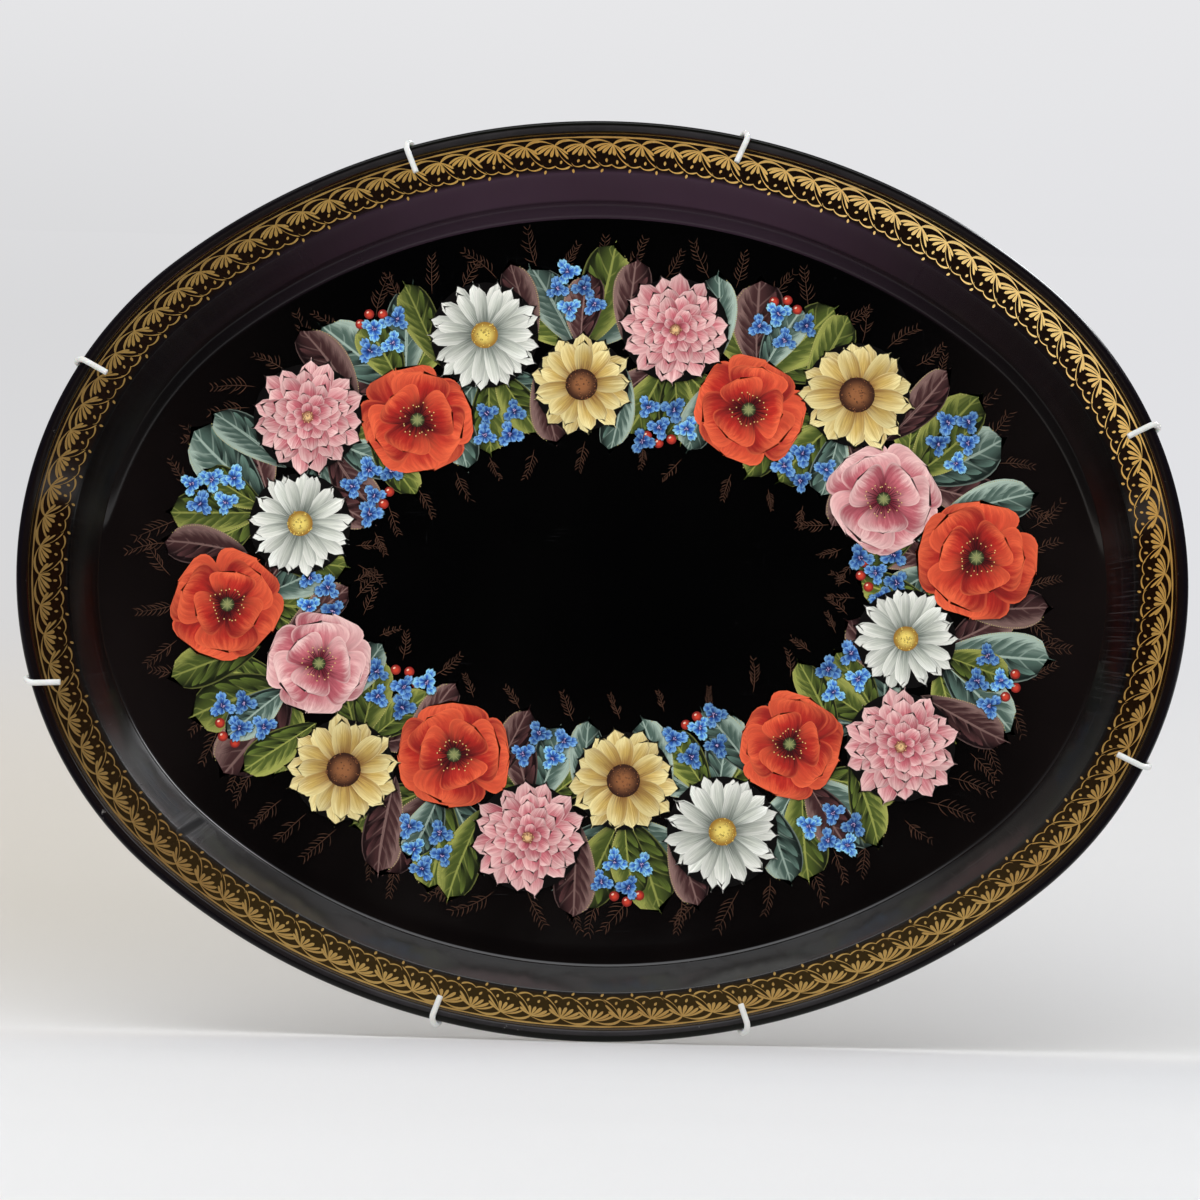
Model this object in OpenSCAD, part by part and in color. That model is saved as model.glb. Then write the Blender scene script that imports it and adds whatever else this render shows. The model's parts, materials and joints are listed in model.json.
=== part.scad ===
// Oval painted serving tray, hung upright on two spring plate hangers.
// Millimetres. +Z is up, the painted face looks along -Y, +X is the
// viewer's right. The origin is the centre of the bend in the top wire
// that the wall nail carries.

/* [Tray] */
// Overall length of the oval over the rolled rim
tray_length = 500; // [300:1:600]
// Overall height of the oval over the rolled rim
tray_width = 396; // [240:1:480]
// Radius of the two tight end arcs of the four-centre oval
end_radius = 169; // [120:1:190]
// Thickness of the pressed sheet
sheet = 0.8; // [0.5:0.1:1.2]
// Depth from the middle of the rolled rim to the painted floor
floor_depth = 27.5; // [15:0.5:40]
// Radius of the sheet's middle line where the floor turns up into the wall
floor_fillet = 8; // [2:0.5:12]

/* [Rim] */
// Diameter of the stiffening wire inside the rolled rim
rim_wire_d = 3.4; // [2:0.1:6]
// Space all round between the stiffening wire and the curled sheet
rim_gap = 0.1; // [0.05:0.05:0.3]
// Distance in from the outer edge to the corner between flange and wall
flange_in = 20.1; // [14:0.1:30]
// How far that corner lies behind the middle of the rolled rim
flange_drop = 11.5; // [2:0.1:16]
// How far the outer edge of the flange lies behind the middle of the rim
flange_start = 3; // [1:0.1:5]
// Distance in from the outer edge to the corner between wall and floor
wall_in = 32.6; // [26:0.1:45]
// How far the curl runs on round the stiffening wire, in degrees
curl_turn = 305; // [240:1:310]

/* [Hanger wires] */
// Diameter of the bare hanger wire
wire_d = 1.6; // [1.2:0.1:2.4]
// Outside diameter of the soft white sleeves on the hooks
sleeve_d = 2.5; // [2:0.1:4]
// Bore of the sleeves
sleeve_bore = 1.8; // [1.3:0.1:2.5]
// Space between a sleeve and the rolled rim
hook_gap = 0.3; // [0.1:0.05:1]
// Length of the prongs of the top and side hooks, from the rim's middle
prong = 10.5; // [6:0.5:16]
// Length of the prongs of the two bottom hooks, from the rim's middle
prong_low = 8; // [6:0.5:16]
// Length of sleeve that runs on behind the rim
sleeve_back = 7; // [3:0.5:12]
// Plane of the side hanger behind the middle of the rim
side_plane = 32; // [30:0.5:40]
// Plane of the upright hanger behind the middle of the rim
upright_plane = 39; // [36:0.5:48]
// Bend radius where a spring hooks on
eye_bend = 3; // [2:0.5:5]
// Bend radius of the nail bend and its counterparts
nail_bend = 4; // [3:0.5:6]

/* [Hook places] */
// Sideways place of the top left hook on the rim
top_left_x = -89; // [-120:1:-40]
// Sideways place of the top right hook on the rim
top_right_x = 57.5; // [40:0.5:120]
// Sideways place of the bottom left hook on the rim
bottom_left_x = -66; // [-120:1:-40]
// Sideways place of the bottom right hook on the rim
bottom_right_x = 65; // [40:1:120]
// Height of the upper left hook above the tray's centre
left_top_z = 85.5; // [40:0.5:110]
// Height of the lower left hook above the tray's centre
left_bottom_z = -53.5; // [-110:0.5:-30]
// Height of the upper right hook above the tray's centre
right_top_z = 69; // [40:0.5:110]
// Height of the lower right hook above the tray's centre
right_bottom_z = -76.5; // [-110:0.5:-30]

/* [Springs] */
// Mean diameter of the spring coils
coil_d = 5.2; // [4:0.1:8]
// Diameter of the spring wire
spring_wire_d = 0.9; // [0.6:0.1:1.2]
// Turns in each upright spring
upright_turns = 24; // [10:1:40]
// Turns in each side spring
side_turns = 34; // [10:1:60]
// Half the distance between the two springs of a hanger
spring_apart = 28; // [20:1:40]
// Half the distance between the two bent ends of the upright hanger
upright_half = 60; // [40:1:90]
// Half the distance between the two bent ends of the side hanger
side_half = 85; // [60:1:120]

/* [Hidden] */

// four-centre oval
a = tray_length / 2;
b = tray_width / 2;
r1 = end_radius;
r2 = (a * a + b * b - 2 * a * r1) / (2 * (b - r1));
c1 = a - r1;
c2 = r2 - b;
turn = atan2(c2, c1);
end_steps = 10;
long_steps = 8;

// rolled rim
bead_in = rim_wire_d / 2 + rim_gap;
bead_mid = bead_in + sheet / 2;
bead_r = bead_in + sheet;

function unit(v) = v / norm(v);
function opening(u, v, w) = acos(unit(u - v) * unit(w - v));
function trim_of(u, v, w, r) = r / tan(opening(u, v, w) / 2);
function bend_centre(u, v, w, r) =
    v + unit(unit(u - v) + unit(w - v)) * r / sin(opening(u, v, w) / 2);

// points of a rounded corner, in the plane or in space
function corner(u, v, w, r, n) =
    let (c = bend_centre(u, v, w, r),
         t = trim_of(u, v, w, r),
         e1 = unit(v + unit(u - v) * t - c),
         e = unit(v + unit(w - v) * t - c),
         e2 = unit(e - e1 * (e * e1)),
         s = 180 - opening(u, v, w))
    [for (i = [0 : n]) c + r * (cos(s * i / n) * e1 + sin(s * i / n) * e2)];

// closed skin over a row of rings of equal length
module skin(rings, joined = false) {
    n = len(rings[0]);
    m = len(rings);
    strips = [for (i = [0 : joined ? m - 1 : m - 2]) for (j = [0 : n - 1])
        let (p = i * n, q = ((i + 1) % m) * n, k = (j + 1) % n)
        each [[p + j, q + j, q + k], [p + j, q + k, p + k]]];
    polyhedron(
        points = [for (r = rings) each r],
        faces = joined ? strips : concat([[for (j = [0 : n - 1]) j]], strips,
            [[for (j = [n - 1 : -1 : 0]) (m - 1) * n + j]]));
}

// one quarter of the oval drawn in by d, from the end towards the long side
function quarter(d) = concat(
    [for (i = [0 : end_steps - 1]) let (t = turn * i / end_steps)
        [c1 + (r1 - d) * cos(t), (r1 - d) * sin(t)]],
    [for (i = [0 : long_steps - 1]) let (t = turn + (90 - turn) * i / long_steps)
        [(r2 - d) * cos(t), (r2 - d) * sin(t) - c2]]);
// the whole oval at height z, as seen from behind so that it runs clockwise
function oval(d, z) =
    let (q = quarter(d), n = len(q), top = b - d)
    [for (p = concat(
        [for (i = [0 : n - 1]) [q[i][0], -q[i][1]]], [[0, -top]],
        [for (i = [n - 1 : -1 : 0]) [-q[i][0], -q[i][1]]],
        [for (i = [1 : n - 1]) [-q[i][0], q[i][1]]], [[0, top]],
        [for (i = [n - 1 : -1 : 1]) q[i]])) [p[0], p[1], z]];

// middle line of the sheet: distance in from the edge, height over the rim
floor_mid = -floor_depth - sheet / 2;
v0 = [wall_in + 8, floor_mid];
v1 = [wall_in, floor_mid];
v2 = [flange_in, -flange_drop];
v3 = [bead_r + bead_mid, -flange_start];
v4 = [bead_r + bead_mid, 0];
midline = concat([v0], corner(v0, v1, v2, floor_fillet, 4),
    corner(v1, v2, v3, 1.6, 2), corner(v2, v3, v4, 1, 2),
    [for (i = [0 : 12]) [bead_r, 0]
        + bead_mid * [cos(curl_turn * i / 12), sin(curl_turn * i / 12)]]);
last = len(midline) - 1;
function heading(i) = i == 0 ? [-1, 0]
    : unit(midline[min(i + 1, last)] - midline[i - 1]);
function side(i, o) = midline[i] + o * [heading(i)[1], -heading(i)[0]];
section = concat([for (i = [0 : last]) side(i, sheet / 2)],
    [for (i = [last : -1 : 0]) side(i, -sheet / 2)]);

// hooks: rim middle point, angle square to the rim, prong angle, prong length,
// and how far the bend carries the wire aside along the rim
hook_r = bead_r + hook_gap + sleeve_d / 2;
function on_long(x, s) = [x, 0, s * (sqrt((r2 - bead_r) ^ 2 - x * x) - c2)];
function on_end(z, s) = [s * (c1 + sqrt((r1 - bead_r) ^ 2 - z * z)), 0, z];
function dir(t) = [cos(t), 0, sin(t)];
function hook(p, centre, t, reach, aside) =
    [p, atan2(centre[1] - p[2], centre[0] - p[0]), t, reach, aside];
hook_tl = hook(on_long(top_left_x, 1), [0, -c2], -67, prong, 2.7);
hook_tr = hook(on_long(top_right_x, 1), [0, -c2], -113, prong, -2.4);
hook_bl = hook(on_long(bottom_left_x, -1), [0, c2], 70, prong_low, -3);
hook_br = hook(on_long(bottom_right_x, -1), [0, c2], 110, prong_low, 3);
hook_lt = hook(on_end(left_top_z, -1), [-c1, 0], -28, prong, -2.4);
hook_lb = hook(on_end(left_bottom_z, -1), [-c1, 0], 3, prong, 3.8);
hook_rt = hook(on_end(right_top_z, 1), [c1, 0], -152, prong, 2.5);
hook_rb = hook(on_end(right_bottom_z, 1), [c1, 0], 155, prong, -2.6);

function over(h) = dir(h[1]);
function along(h) = dir(h[1] + 90);
function skew(h) = h[2] - h[1];
function tip(h, s) = h[0] + (h[3] - s) * dir(h[2]) + [0, -hook_r, 0];
// end of a hook's leg, leg_in in from the rim and y behind it
leg_in = 34;
function far(h, y) = h[0] + leg_in * dir(h[2]) + [0, y, 0];
function deep(h, y) = norm([leg_in * cos(skew(h)), y]);
// slope of the leg, which touches the bend, and its drift along the rim
function slope(h, y) = acos(hook_r / deep(h, y)) - atan2(leg_in * cos(skew(h)), y);
function drift(h, y) =
    (leg_in * sin(skew(h)) - h[4]) / sqrt(deep(h, y) ^ 2 - hook_r ^ 2);
// the bend round the rolled rim
function wrap(h, y) =
    let (e = 180 - slope(h, y), k = hook_r * e * PI / 180, f = drift(h, y))
    [for (i = [0 : 8]) let (t = i / 8, w = e * t)
        h[0] - hook_r * sin(w) * over(h) + [0, -hook_r * cos(w), 0]
        + along(h) * (h[4] * (3 * t ^ 2 - 2 * t ^ 3)
            - k * tan(skew(h)) * (t ^ 3 - 2 * t ^ 2 + t) + k * f * (t ^ 3 - t ^ 2))];
// place on the leg, s beyond the end of the bend
function leg(h, y, s) = wrap(h, y)[8] + s * (cos(slope(h, y)) * over(h)
    + [0, sin(slope(h, y)), 0] + drift(h, y) * along(h));

// a wire half: two hooks, two bent ends for the springs, one bend between
function half(h, k, y, p, m, q) = [tip(h, 1), leg(h, y, 0), far(h, y),
    p, m, q, far(k, y), leg(k, y, 0), tip(k, 1)];
rest_up = 34;
top_pts = half(hook_tl, hook_tr, rest_up,
    [-spring_apart, upright_plane, upright_half],
    [0, upright_plane, upright_half + 30],
    [spring_apart, upright_plane, upright_half]);
bottom_pts = half(hook_bl, hook_br, rest_up,
    [-spring_apart, upright_plane, -upright_half],
    [0, upright_plane, -upright_half - 24],
    [spring_apart, upright_plane, -upright_half]);
left_pts = half(hook_lt, hook_lb, side_plane,
    [-side_half, side_plane, spring_apart],
    [-side_half - 24, side_plane, 0],
    [-side_half, side_plane, -spring_apart]);
right_pts = half(hook_rt, hook_rb, side_plane,
    [side_half, side_plane, spring_apart],
    [side_half + 24, side_plane, 0],
    [side_half, side_plane, -spring_apart]);
// the nail's place is the origin
nail = bend_centre(top_pts[3], top_pts[4], top_pts[5], nail_bend);
module hung() { translate(-nail) children(); }

// rings of a round bar along a path
function flat(v, t) = unit(v - t * (v * t));
function bar(path, r, n) =
    let (m = len(path),
         t = [for (i = [0 : m - 1])
             unit(path[min(i + 1, m - 1)] - path[max(i - 1, 0)])],
         v = [for (i = 0, x = flat([0.31, 0.95, 0.05], t[0]); i < m;
             i = i + 1, x = i < m ? flat(x, t[i]) : x) x])
    [for (i = [0 : m - 1]) [for (j = [0 : n - 1]) path[i]
        + r * (cos(360 * j / n) * v[i] + sin(360 * j / n) * cross(t[i], v[i]))]];
function backwards(l) = [for (i = [len(l) - 1 : -1 : 0]) l[i]];

// the whole length of a wire half, with its bends
function wire_path(h, k, y, p) = concat([p[0]], wrap(h, y),
    corner(p[1], p[2], p[3], 8, 3), corner(p[2], p[3], p[4], eye_bend, 5),
    corner(p[3], p[4], p[5], nail_bend, 5), corner(p[4], p[5], p[6], eye_bend, 5),
    corner(p[5], p[6], p[7], 8, 3), backwards(wrap(k, y)), [p[8]]);
module wire(h, k, y, p) { skin(bar(wire_path(h, k, y, p), wire_d / 2, 8)); }

module sleeve(h, y) {
    e = leg(h, y, sleeve_back);
    skin(concat(
        bar(concat([tip(h, 0)], wrap(h, y), [e]), sleeve_d / 2, 8),
        backwards(bar(concat([tip(h, 0.8)], wrap(h, y), [e]), sleeve_bore / 2, 8))));
}

// spring: end loop, coil, end loop, along z from 0 to l
loop_r = coil_d / 2;
loop_at = loop_r - spring_wire_d / 2 - wire_d / 2 - 0.3;
steps = 8;
function half_spring(l, turns) = concat(
    [for (t = [60 : 21 : 270]) [loop_r * sin(t), 0, loop_at + loop_r * cos(t)]],
    [for (i = [1 : turns * steps / 2])
        let (k = i / steps,
             f = 180 + 360 * (k < 0.5 ? k * k : k - 0.25),
             rise = (l / 2 - loop_at - 1.2) * max(0, k - 0.1) / (turns / 2 - 0.1))
        [loop_r * cos(f), loop_r * sin(f),
         loop_at + 1.2 * (k < 0.5 ? 1 - (1 - 2 * k) ^ 2 : 1) + rise]]);
function spring_path(l, turns) =
    let (h = half_spring(l, turns + 0.5), n = len(h) - 1)
    concat(h, [for (i = [n - 1 : -1 : 0]) [h[i][0], -h[i][1], l - h[i][2]]]);

// a spring between two points of one hanger plane
module spring(p, q, turns) {
    e3 = unit(q - p);
    e1 = [0, 1, 0];
    e2 = cross(e3, e1);
    multmatrix([[e1[0], e2[0], e3[0], p[0]], [e1[1], e2[1], e3[1], p[1]],
                [e1[2], e2[2], e3[2], p[2]], [0, 0, 0, 1]])
        skin(bar(spring_path(norm(q - p), turns), spring_wire_d / 2, 5));
}

// the point of bent end i of a wire that lies furthest in the direction d
function hang_on(pts, i, d) =
    bend_centre(pts[i - 1], pts[i], pts[i + 1], eye_bend) + eye_bend * d;

module tray_shell() {
    color([0.03, 0.03, 0.03]) hung() rotate([90, 0, 0])
        skin([for (p = section) oval(p[0], p[1])]);
}

module rim_wire() {
    color([0.55, 0.56, 0.58]) hung() rotate([90, 0, 0])
        skin([for (i = [0 : 7]) oval(bead_r + rim_wire_d / 2 * cos(45 * i),
            rim_wire_d / 2 * sin(45 * i))], true);
}

module top_wire() { color([0.62, 0.62, 0.6]) hung()
    wire(hook_tl, hook_tr, rest_up, top_pts); }
module bottom_wire() { color([0.62, 0.62, 0.6]) hung()
    wire(hook_bl, hook_br, rest_up, bottom_pts); }
module left_wire() { color([0.62, 0.62, 0.6]) hung()
    wire(hook_lt, hook_lb, side_plane, left_pts); }
module right_wire() { color([0.62, 0.62, 0.6]) hung()
    wire(hook_rt, hook_rb, side_plane, right_pts); }

module top_left_sleeve() { color([0.95, 0.95, 0.93]) hung() sleeve(hook_tl, rest_up); }
module top_right_sleeve() { color([0.95, 0.95, 0.93]) hung() sleeve(hook_tr, rest_up); }
module bottom_left_sleeve() { color([0.95, 0.95, 0.93]) hung() sleeve(hook_bl, rest_up); }
module bottom_right_sleeve() { color([0.95, 0.95, 0.93]) hung() sleeve(hook_br, rest_up); }
module left_top_sleeve() { color([0.95, 0.95, 0.93]) hung() sleeve(hook_lt, side_plane); }
module left_bottom_sleeve() { color([0.95, 0.95, 0.93]) hung() sleeve(hook_lb, side_plane); }
module right_top_sleeve() { color([0.95, 0.95, 0.93]) hung() sleeve(hook_rt, side_plane); }
module right_bottom_sleeve() { color([0.95, 0.95, 0.93]) hung() sleeve(hook_rb, side_plane); }

module upright_spring_left() {
    color([0.7, 0.7, 0.68]) hung() spring(hang_on(bottom_pts, 3, [0, 0, 1]),
        hang_on(top_pts, 3, [0, 0, -1]), upright_turns);
}
module upright_spring_right() {
    color([0.7, 0.7, 0.68]) hung() spring(hang_on(bottom_pts, 5, [0, 0, 1]),
        hang_on(top_pts, 5, [0, 0, -1]), upright_turns);
}
module side_spring_upper() {
    color([0.7, 0.7, 0.68]) hung() spring(hang_on(left_pts, 3, [1, 0, 0]),
        hang_on(right_pts, 3, [-1, 0, 0]), side_turns);
}
module side_spring_lower() {
    color([0.7, 0.7, 0.68]) hung() spring(hang_on(left_pts, 5, [1, 0, 0]),
        hang_on(right_pts, 5, [-1, 0, 0]), side_turns);
}

tray_shell();
rim_wire();
top_wire();
bottom_wire();
left_wire();
right_wire();
top_left_sleeve();
top_right_sleeve();
bottom_left_sleeve();
bottom_right_sleeve();
left_top_sleeve();
left_bottom_sleeve();
right_top_sleeve();
right_bottom_sleeve();
upright_spring_left();
upright_spring_right();
side_spring_upper();
side_spring_lower();
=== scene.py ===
import json
import math
import random

import bmesh
import bpy
import numpy as np
from mathutils import Matrix, Vector

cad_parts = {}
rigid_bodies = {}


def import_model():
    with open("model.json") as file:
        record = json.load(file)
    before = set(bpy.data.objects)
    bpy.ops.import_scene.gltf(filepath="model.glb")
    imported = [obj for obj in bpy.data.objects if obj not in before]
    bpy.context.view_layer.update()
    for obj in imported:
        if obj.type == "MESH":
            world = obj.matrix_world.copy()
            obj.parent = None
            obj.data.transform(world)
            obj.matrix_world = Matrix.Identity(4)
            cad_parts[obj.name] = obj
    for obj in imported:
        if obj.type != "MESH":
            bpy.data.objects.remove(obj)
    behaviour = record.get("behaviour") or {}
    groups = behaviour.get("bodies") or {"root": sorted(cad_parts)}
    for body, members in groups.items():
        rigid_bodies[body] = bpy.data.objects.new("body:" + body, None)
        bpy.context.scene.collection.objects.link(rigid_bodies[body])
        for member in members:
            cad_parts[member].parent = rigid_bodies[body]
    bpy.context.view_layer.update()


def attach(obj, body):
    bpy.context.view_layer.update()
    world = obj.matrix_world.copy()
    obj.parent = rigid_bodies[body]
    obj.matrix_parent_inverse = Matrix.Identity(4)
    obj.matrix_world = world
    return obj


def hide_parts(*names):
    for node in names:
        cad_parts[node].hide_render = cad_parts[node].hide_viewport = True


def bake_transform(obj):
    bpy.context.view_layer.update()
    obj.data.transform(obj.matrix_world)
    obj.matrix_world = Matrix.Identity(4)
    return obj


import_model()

# ----------------------------------------------------------------- sizes (mm)
A, B, R1 = 250.0, 198.0, 169.0
R2 = (A * A + B * B - 2 * A * R1) / (2 * (B - R1))
C1, C2 = A - R1, R2 - B
TURN = math.atan2(C2, C1)
SHEET = 0.8
BEAD_IN = 1.8
BEAD_MID = 2.2
BEAD_R = 2.6
FLOOR = -27.5
NAIL_Y, NAIL_Z = 39.0, 84.1376


def row(p):
    """Tray coordinates (x right, y up, z towards the viewer, mm) to the part's frame (m)."""
    p = np.asarray(p, float).reshape(-1, 3)
    return np.c_[p[:, 0], -p[:, 2] - NAIL_Y, p[:, 1] - NAIL_Z] * 0.001


# ------------------------------------------------------------------- camera
CAM_D, CAM_T, CAM_S = 1300.0, math.radians(7.5), 2.344
cam_data = bpy.data.cameras.new("camera")
cam = bpy.data.objects.new("camera", cam_data)
bpy.context.scene.collection.objects.link(cam)
bpy.context.scene.camera = cam
f_px = CAM_S * CAM_D
cam_data.sensor_fit = "HORIZONTAL"
cam_data.sensor_width = 36.0
cam_data.lens = f_px / 1200.0 * 36.0
cam_data.clip_start, cam_data.clip_end = 0.05, 60.0
centre = Vector(row([0, 0, 0])[0])
eye = centre + Vector((0, -math.cos(CAM_T), -math.sin(CAM_T))) * CAM_D * 0.001
look = (centre - eye).normalized()
right = look.cross(Vector((0, 0, 1))).normalized()
up = right.cross(look).normalized()
# the tray's centre sits at pixel (602.5, 573) of 1200, the tray turned 1.46 degrees clockwise
roll = math.radians(1.46)
r_, u_ = right, up
right = r_ * math.cos(roll) + u_ * math.sin(roll)
up = u_ * math.cos(roll) - r_ * math.sin(roll)
off_x, off_y = (602.5 - 600.0) / f_px, (600.0 - 573.0) / f_px
axis = (look - right * off_x - up * off_y).normalized()
right = (right - axis * right.dot(axis)).normalized()
up = right.cross(axis).normalized()
m = Matrix((right, up, -axis)).transposed().to_4x4()
m.translation = eye
cam.matrix_world = m

# -------------------------------------------------------------- mesh helpers


def link(o):
    bpy.context.scene.collection.objects.link(o)
    return o


def make(name, verts, faces, mat, smooth=True, attrs=None, uvs=None):
    me = bpy.data.meshes.new(name)
    me.from_pydata([tuple(v) for v in verts], [], [tuple(int(i) for i in f) for f in faces])
    me.update()
    for k, (kind, data) in (attrs or {}).items():
        a = me.attributes.new(k, kind, "POINT")
        key = {"FLOAT_COLOR": "color", "FLOAT_VECTOR": "vector", "FLOAT": "value"}[kind]
        a.data.foreach_set(key, np.asarray(data, np.float32).ravel())
    if smooth:
        me.polygons.foreach_set("use_smooth", np.ones(len(me.polygons), bool))
    me.materials.append(mat)
    return link(bpy.data.objects.new(name, me))


def skin_faces(m, n, joined=False, caps=True):
    f = []
    for i in range(m if joined else m - 1):
        p, q = i * n, ((i + 1) % m) * n
        for j in range(n):
            k = (j + 1) % n
            f.append((p + j, p + k, q + k, q + j))
    if caps and not joined:
        f.append(tuple(range(n - 1, -1, -1)))
        f.append(tuple(range((m - 1) * n, m * n)))
    return f


def unit(v):
    v = np.asarray(v, float)
    return v / np.linalg.norm(v)


def corner(u, v, w, r, n):
    u, v, w = (np.asarray(x, float) for x in (u, v, w))
    d1, d2 = unit(u - v), unit(w - v)
    g = math.acos(max(-1, min(1, float(d1 @ d2))))
    t = r / math.tan(g / 2)
    c = v + unit(d1 + d2) * r / math.sin(g / 2)
    e1 = unit(v + d1 * t - c)
    e = unit(v + d2 * t - c)
    e2 = unit(e - e1 * (e @ e1))
    s = math.pi - g
    return [c + r * (math.cos(s * i / n) * e1 + math.sin(s * i / n) * e2) for i in range(n + 1)]


def bend_centre(u, v, w, r):
    u, v, w = (np.asarray(x, float) for x in (u, v, w))
    d1, d2 = unit(u - v), unit(w - v)
    g = math.acos(float(d1 @ d2))
    return v + unit(d1 + d2) * r / math.sin(g / 2)


def bar(path, r, n):
    """Rings of a round bar along a path; r may be a list of radii."""
    path = np.asarray(path, float)
    m = len(path)
    rs = np.full(m, r) if np.isscalar(r) else np.asarray(r)
    t = np.array([unit(path[min(i + 1, m - 1)] - path[max(i - 1, 0)]) for i in range(m)])
    x = np.array([0.31, 0.95, 0.05])
    ang = np.arange(n) * 2 * math.pi / n
    out = []
    for i in range(m):
        x = unit(x - t[i] * (x @ t[i]))
        y = np.cross(t[i], x)
        out.append(path[i] + rs[i] * (np.cos(ang)[:, None] * x + np.sin(ang)[:, None] * y))
    return np.array(out)


# ---------------------------------------------------------------- node maths


class Tree:
    """A small writer for material node trees."""

    def __init__(self, name):
        self.mat = bpy.data.materials.new(name)
        self.mat.use_nodes = True
        self.t = self.mat.node_tree
        self.b = self.t.nodes["Principled BSDF"]
        self.out = self.t.nodes["Material Output"]

    def put(self, sock, v):
        if isinstance(v, bpy.types.NodeSocket):
            self.t.links.new(v, sock)
        else:
            sock.default_value = v

    def n(self, kind, **kw):
        x = self.t.nodes.new(kind)
        for k, v in kw.items():
            setattr(x, k, v)
        return x

    def math(self, op, a, b=0.0, c=0.0, clamp=False):
        x = self.n("ShaderNodeMath", operation=op, use_clamp=clamp)
        for i, v in enumerate((a, b, c)):
            self.put(x.inputs[i], v)
        return x.outputs[0]

    def ramp(self, v, lo, hi, to0=0.0, to1=1.0, smooth=True):
        x = self.n("ShaderNodeMapRange")
        x.interpolation_type = "SMOOTHSTEP" if smooth else "LINEAR"
        x.clamp = True
        for i, q in enumerate((v, lo, hi, to0, to1)):
            self.put(x.inputs[i], q)
        return x.outputs[0]

    def mix(self, f, a, b, mode="MIX"):
        x = self.n("ShaderNodeMix", data_type="RGBA", blend_type=mode)
        x.clamp_factor = True
        self.put(x.inputs["Factor"], f)
        for s, v in ((x.inputs[6], a), (x.inputs[7], b)):
            self.put(s, v if isinstance(v, bpy.types.NodeSocket) else (*v[:3], 1.0))
        return x.outputs[2]

    def attr(self, name):
        x = self.n("ShaderNodeAttribute", attribute_type="GEOMETRY", attribute_name=name)
        return x

    def xyz(self, x, y, z):
        c = self.n("ShaderNodeCombineXYZ")
        for i, v in enumerate((x, y, z)):
            self.put(c.inputs[i], v)
        return c.outputs[0]

    def sep(self, v):
        c = self.n("ShaderNodeSeparateXYZ")
        self.put(c.inputs[0], v)
        return c.outputs

    def noise(self, vec, scale, detail=3.0, rough=0.5):
        x = self.n("ShaderNodeTexNoise")
        x.normalize = True
        self.put(x.inputs["Vector"], vec)
        x.inputs["Scale"].default_value = scale
        x.inputs["Detail"].default_value = detail
        x.inputs["Roughness"].default_value = rough
        return x.outputs["Fac"]

    def obj(self):
        return self.n("ShaderNodeTexCoord").outputs["Object"]

    def bump(self, h, strength, dist):
        x = self.n("ShaderNodeBump")
        x.inputs["Strength"].default_value = strength
        x.inputs["Distance"].default_value = dist
        self.put(x.inputs["Height"], h)
        return x.outputs[0]


# ----------------------------------------------------------------- materials


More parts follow.
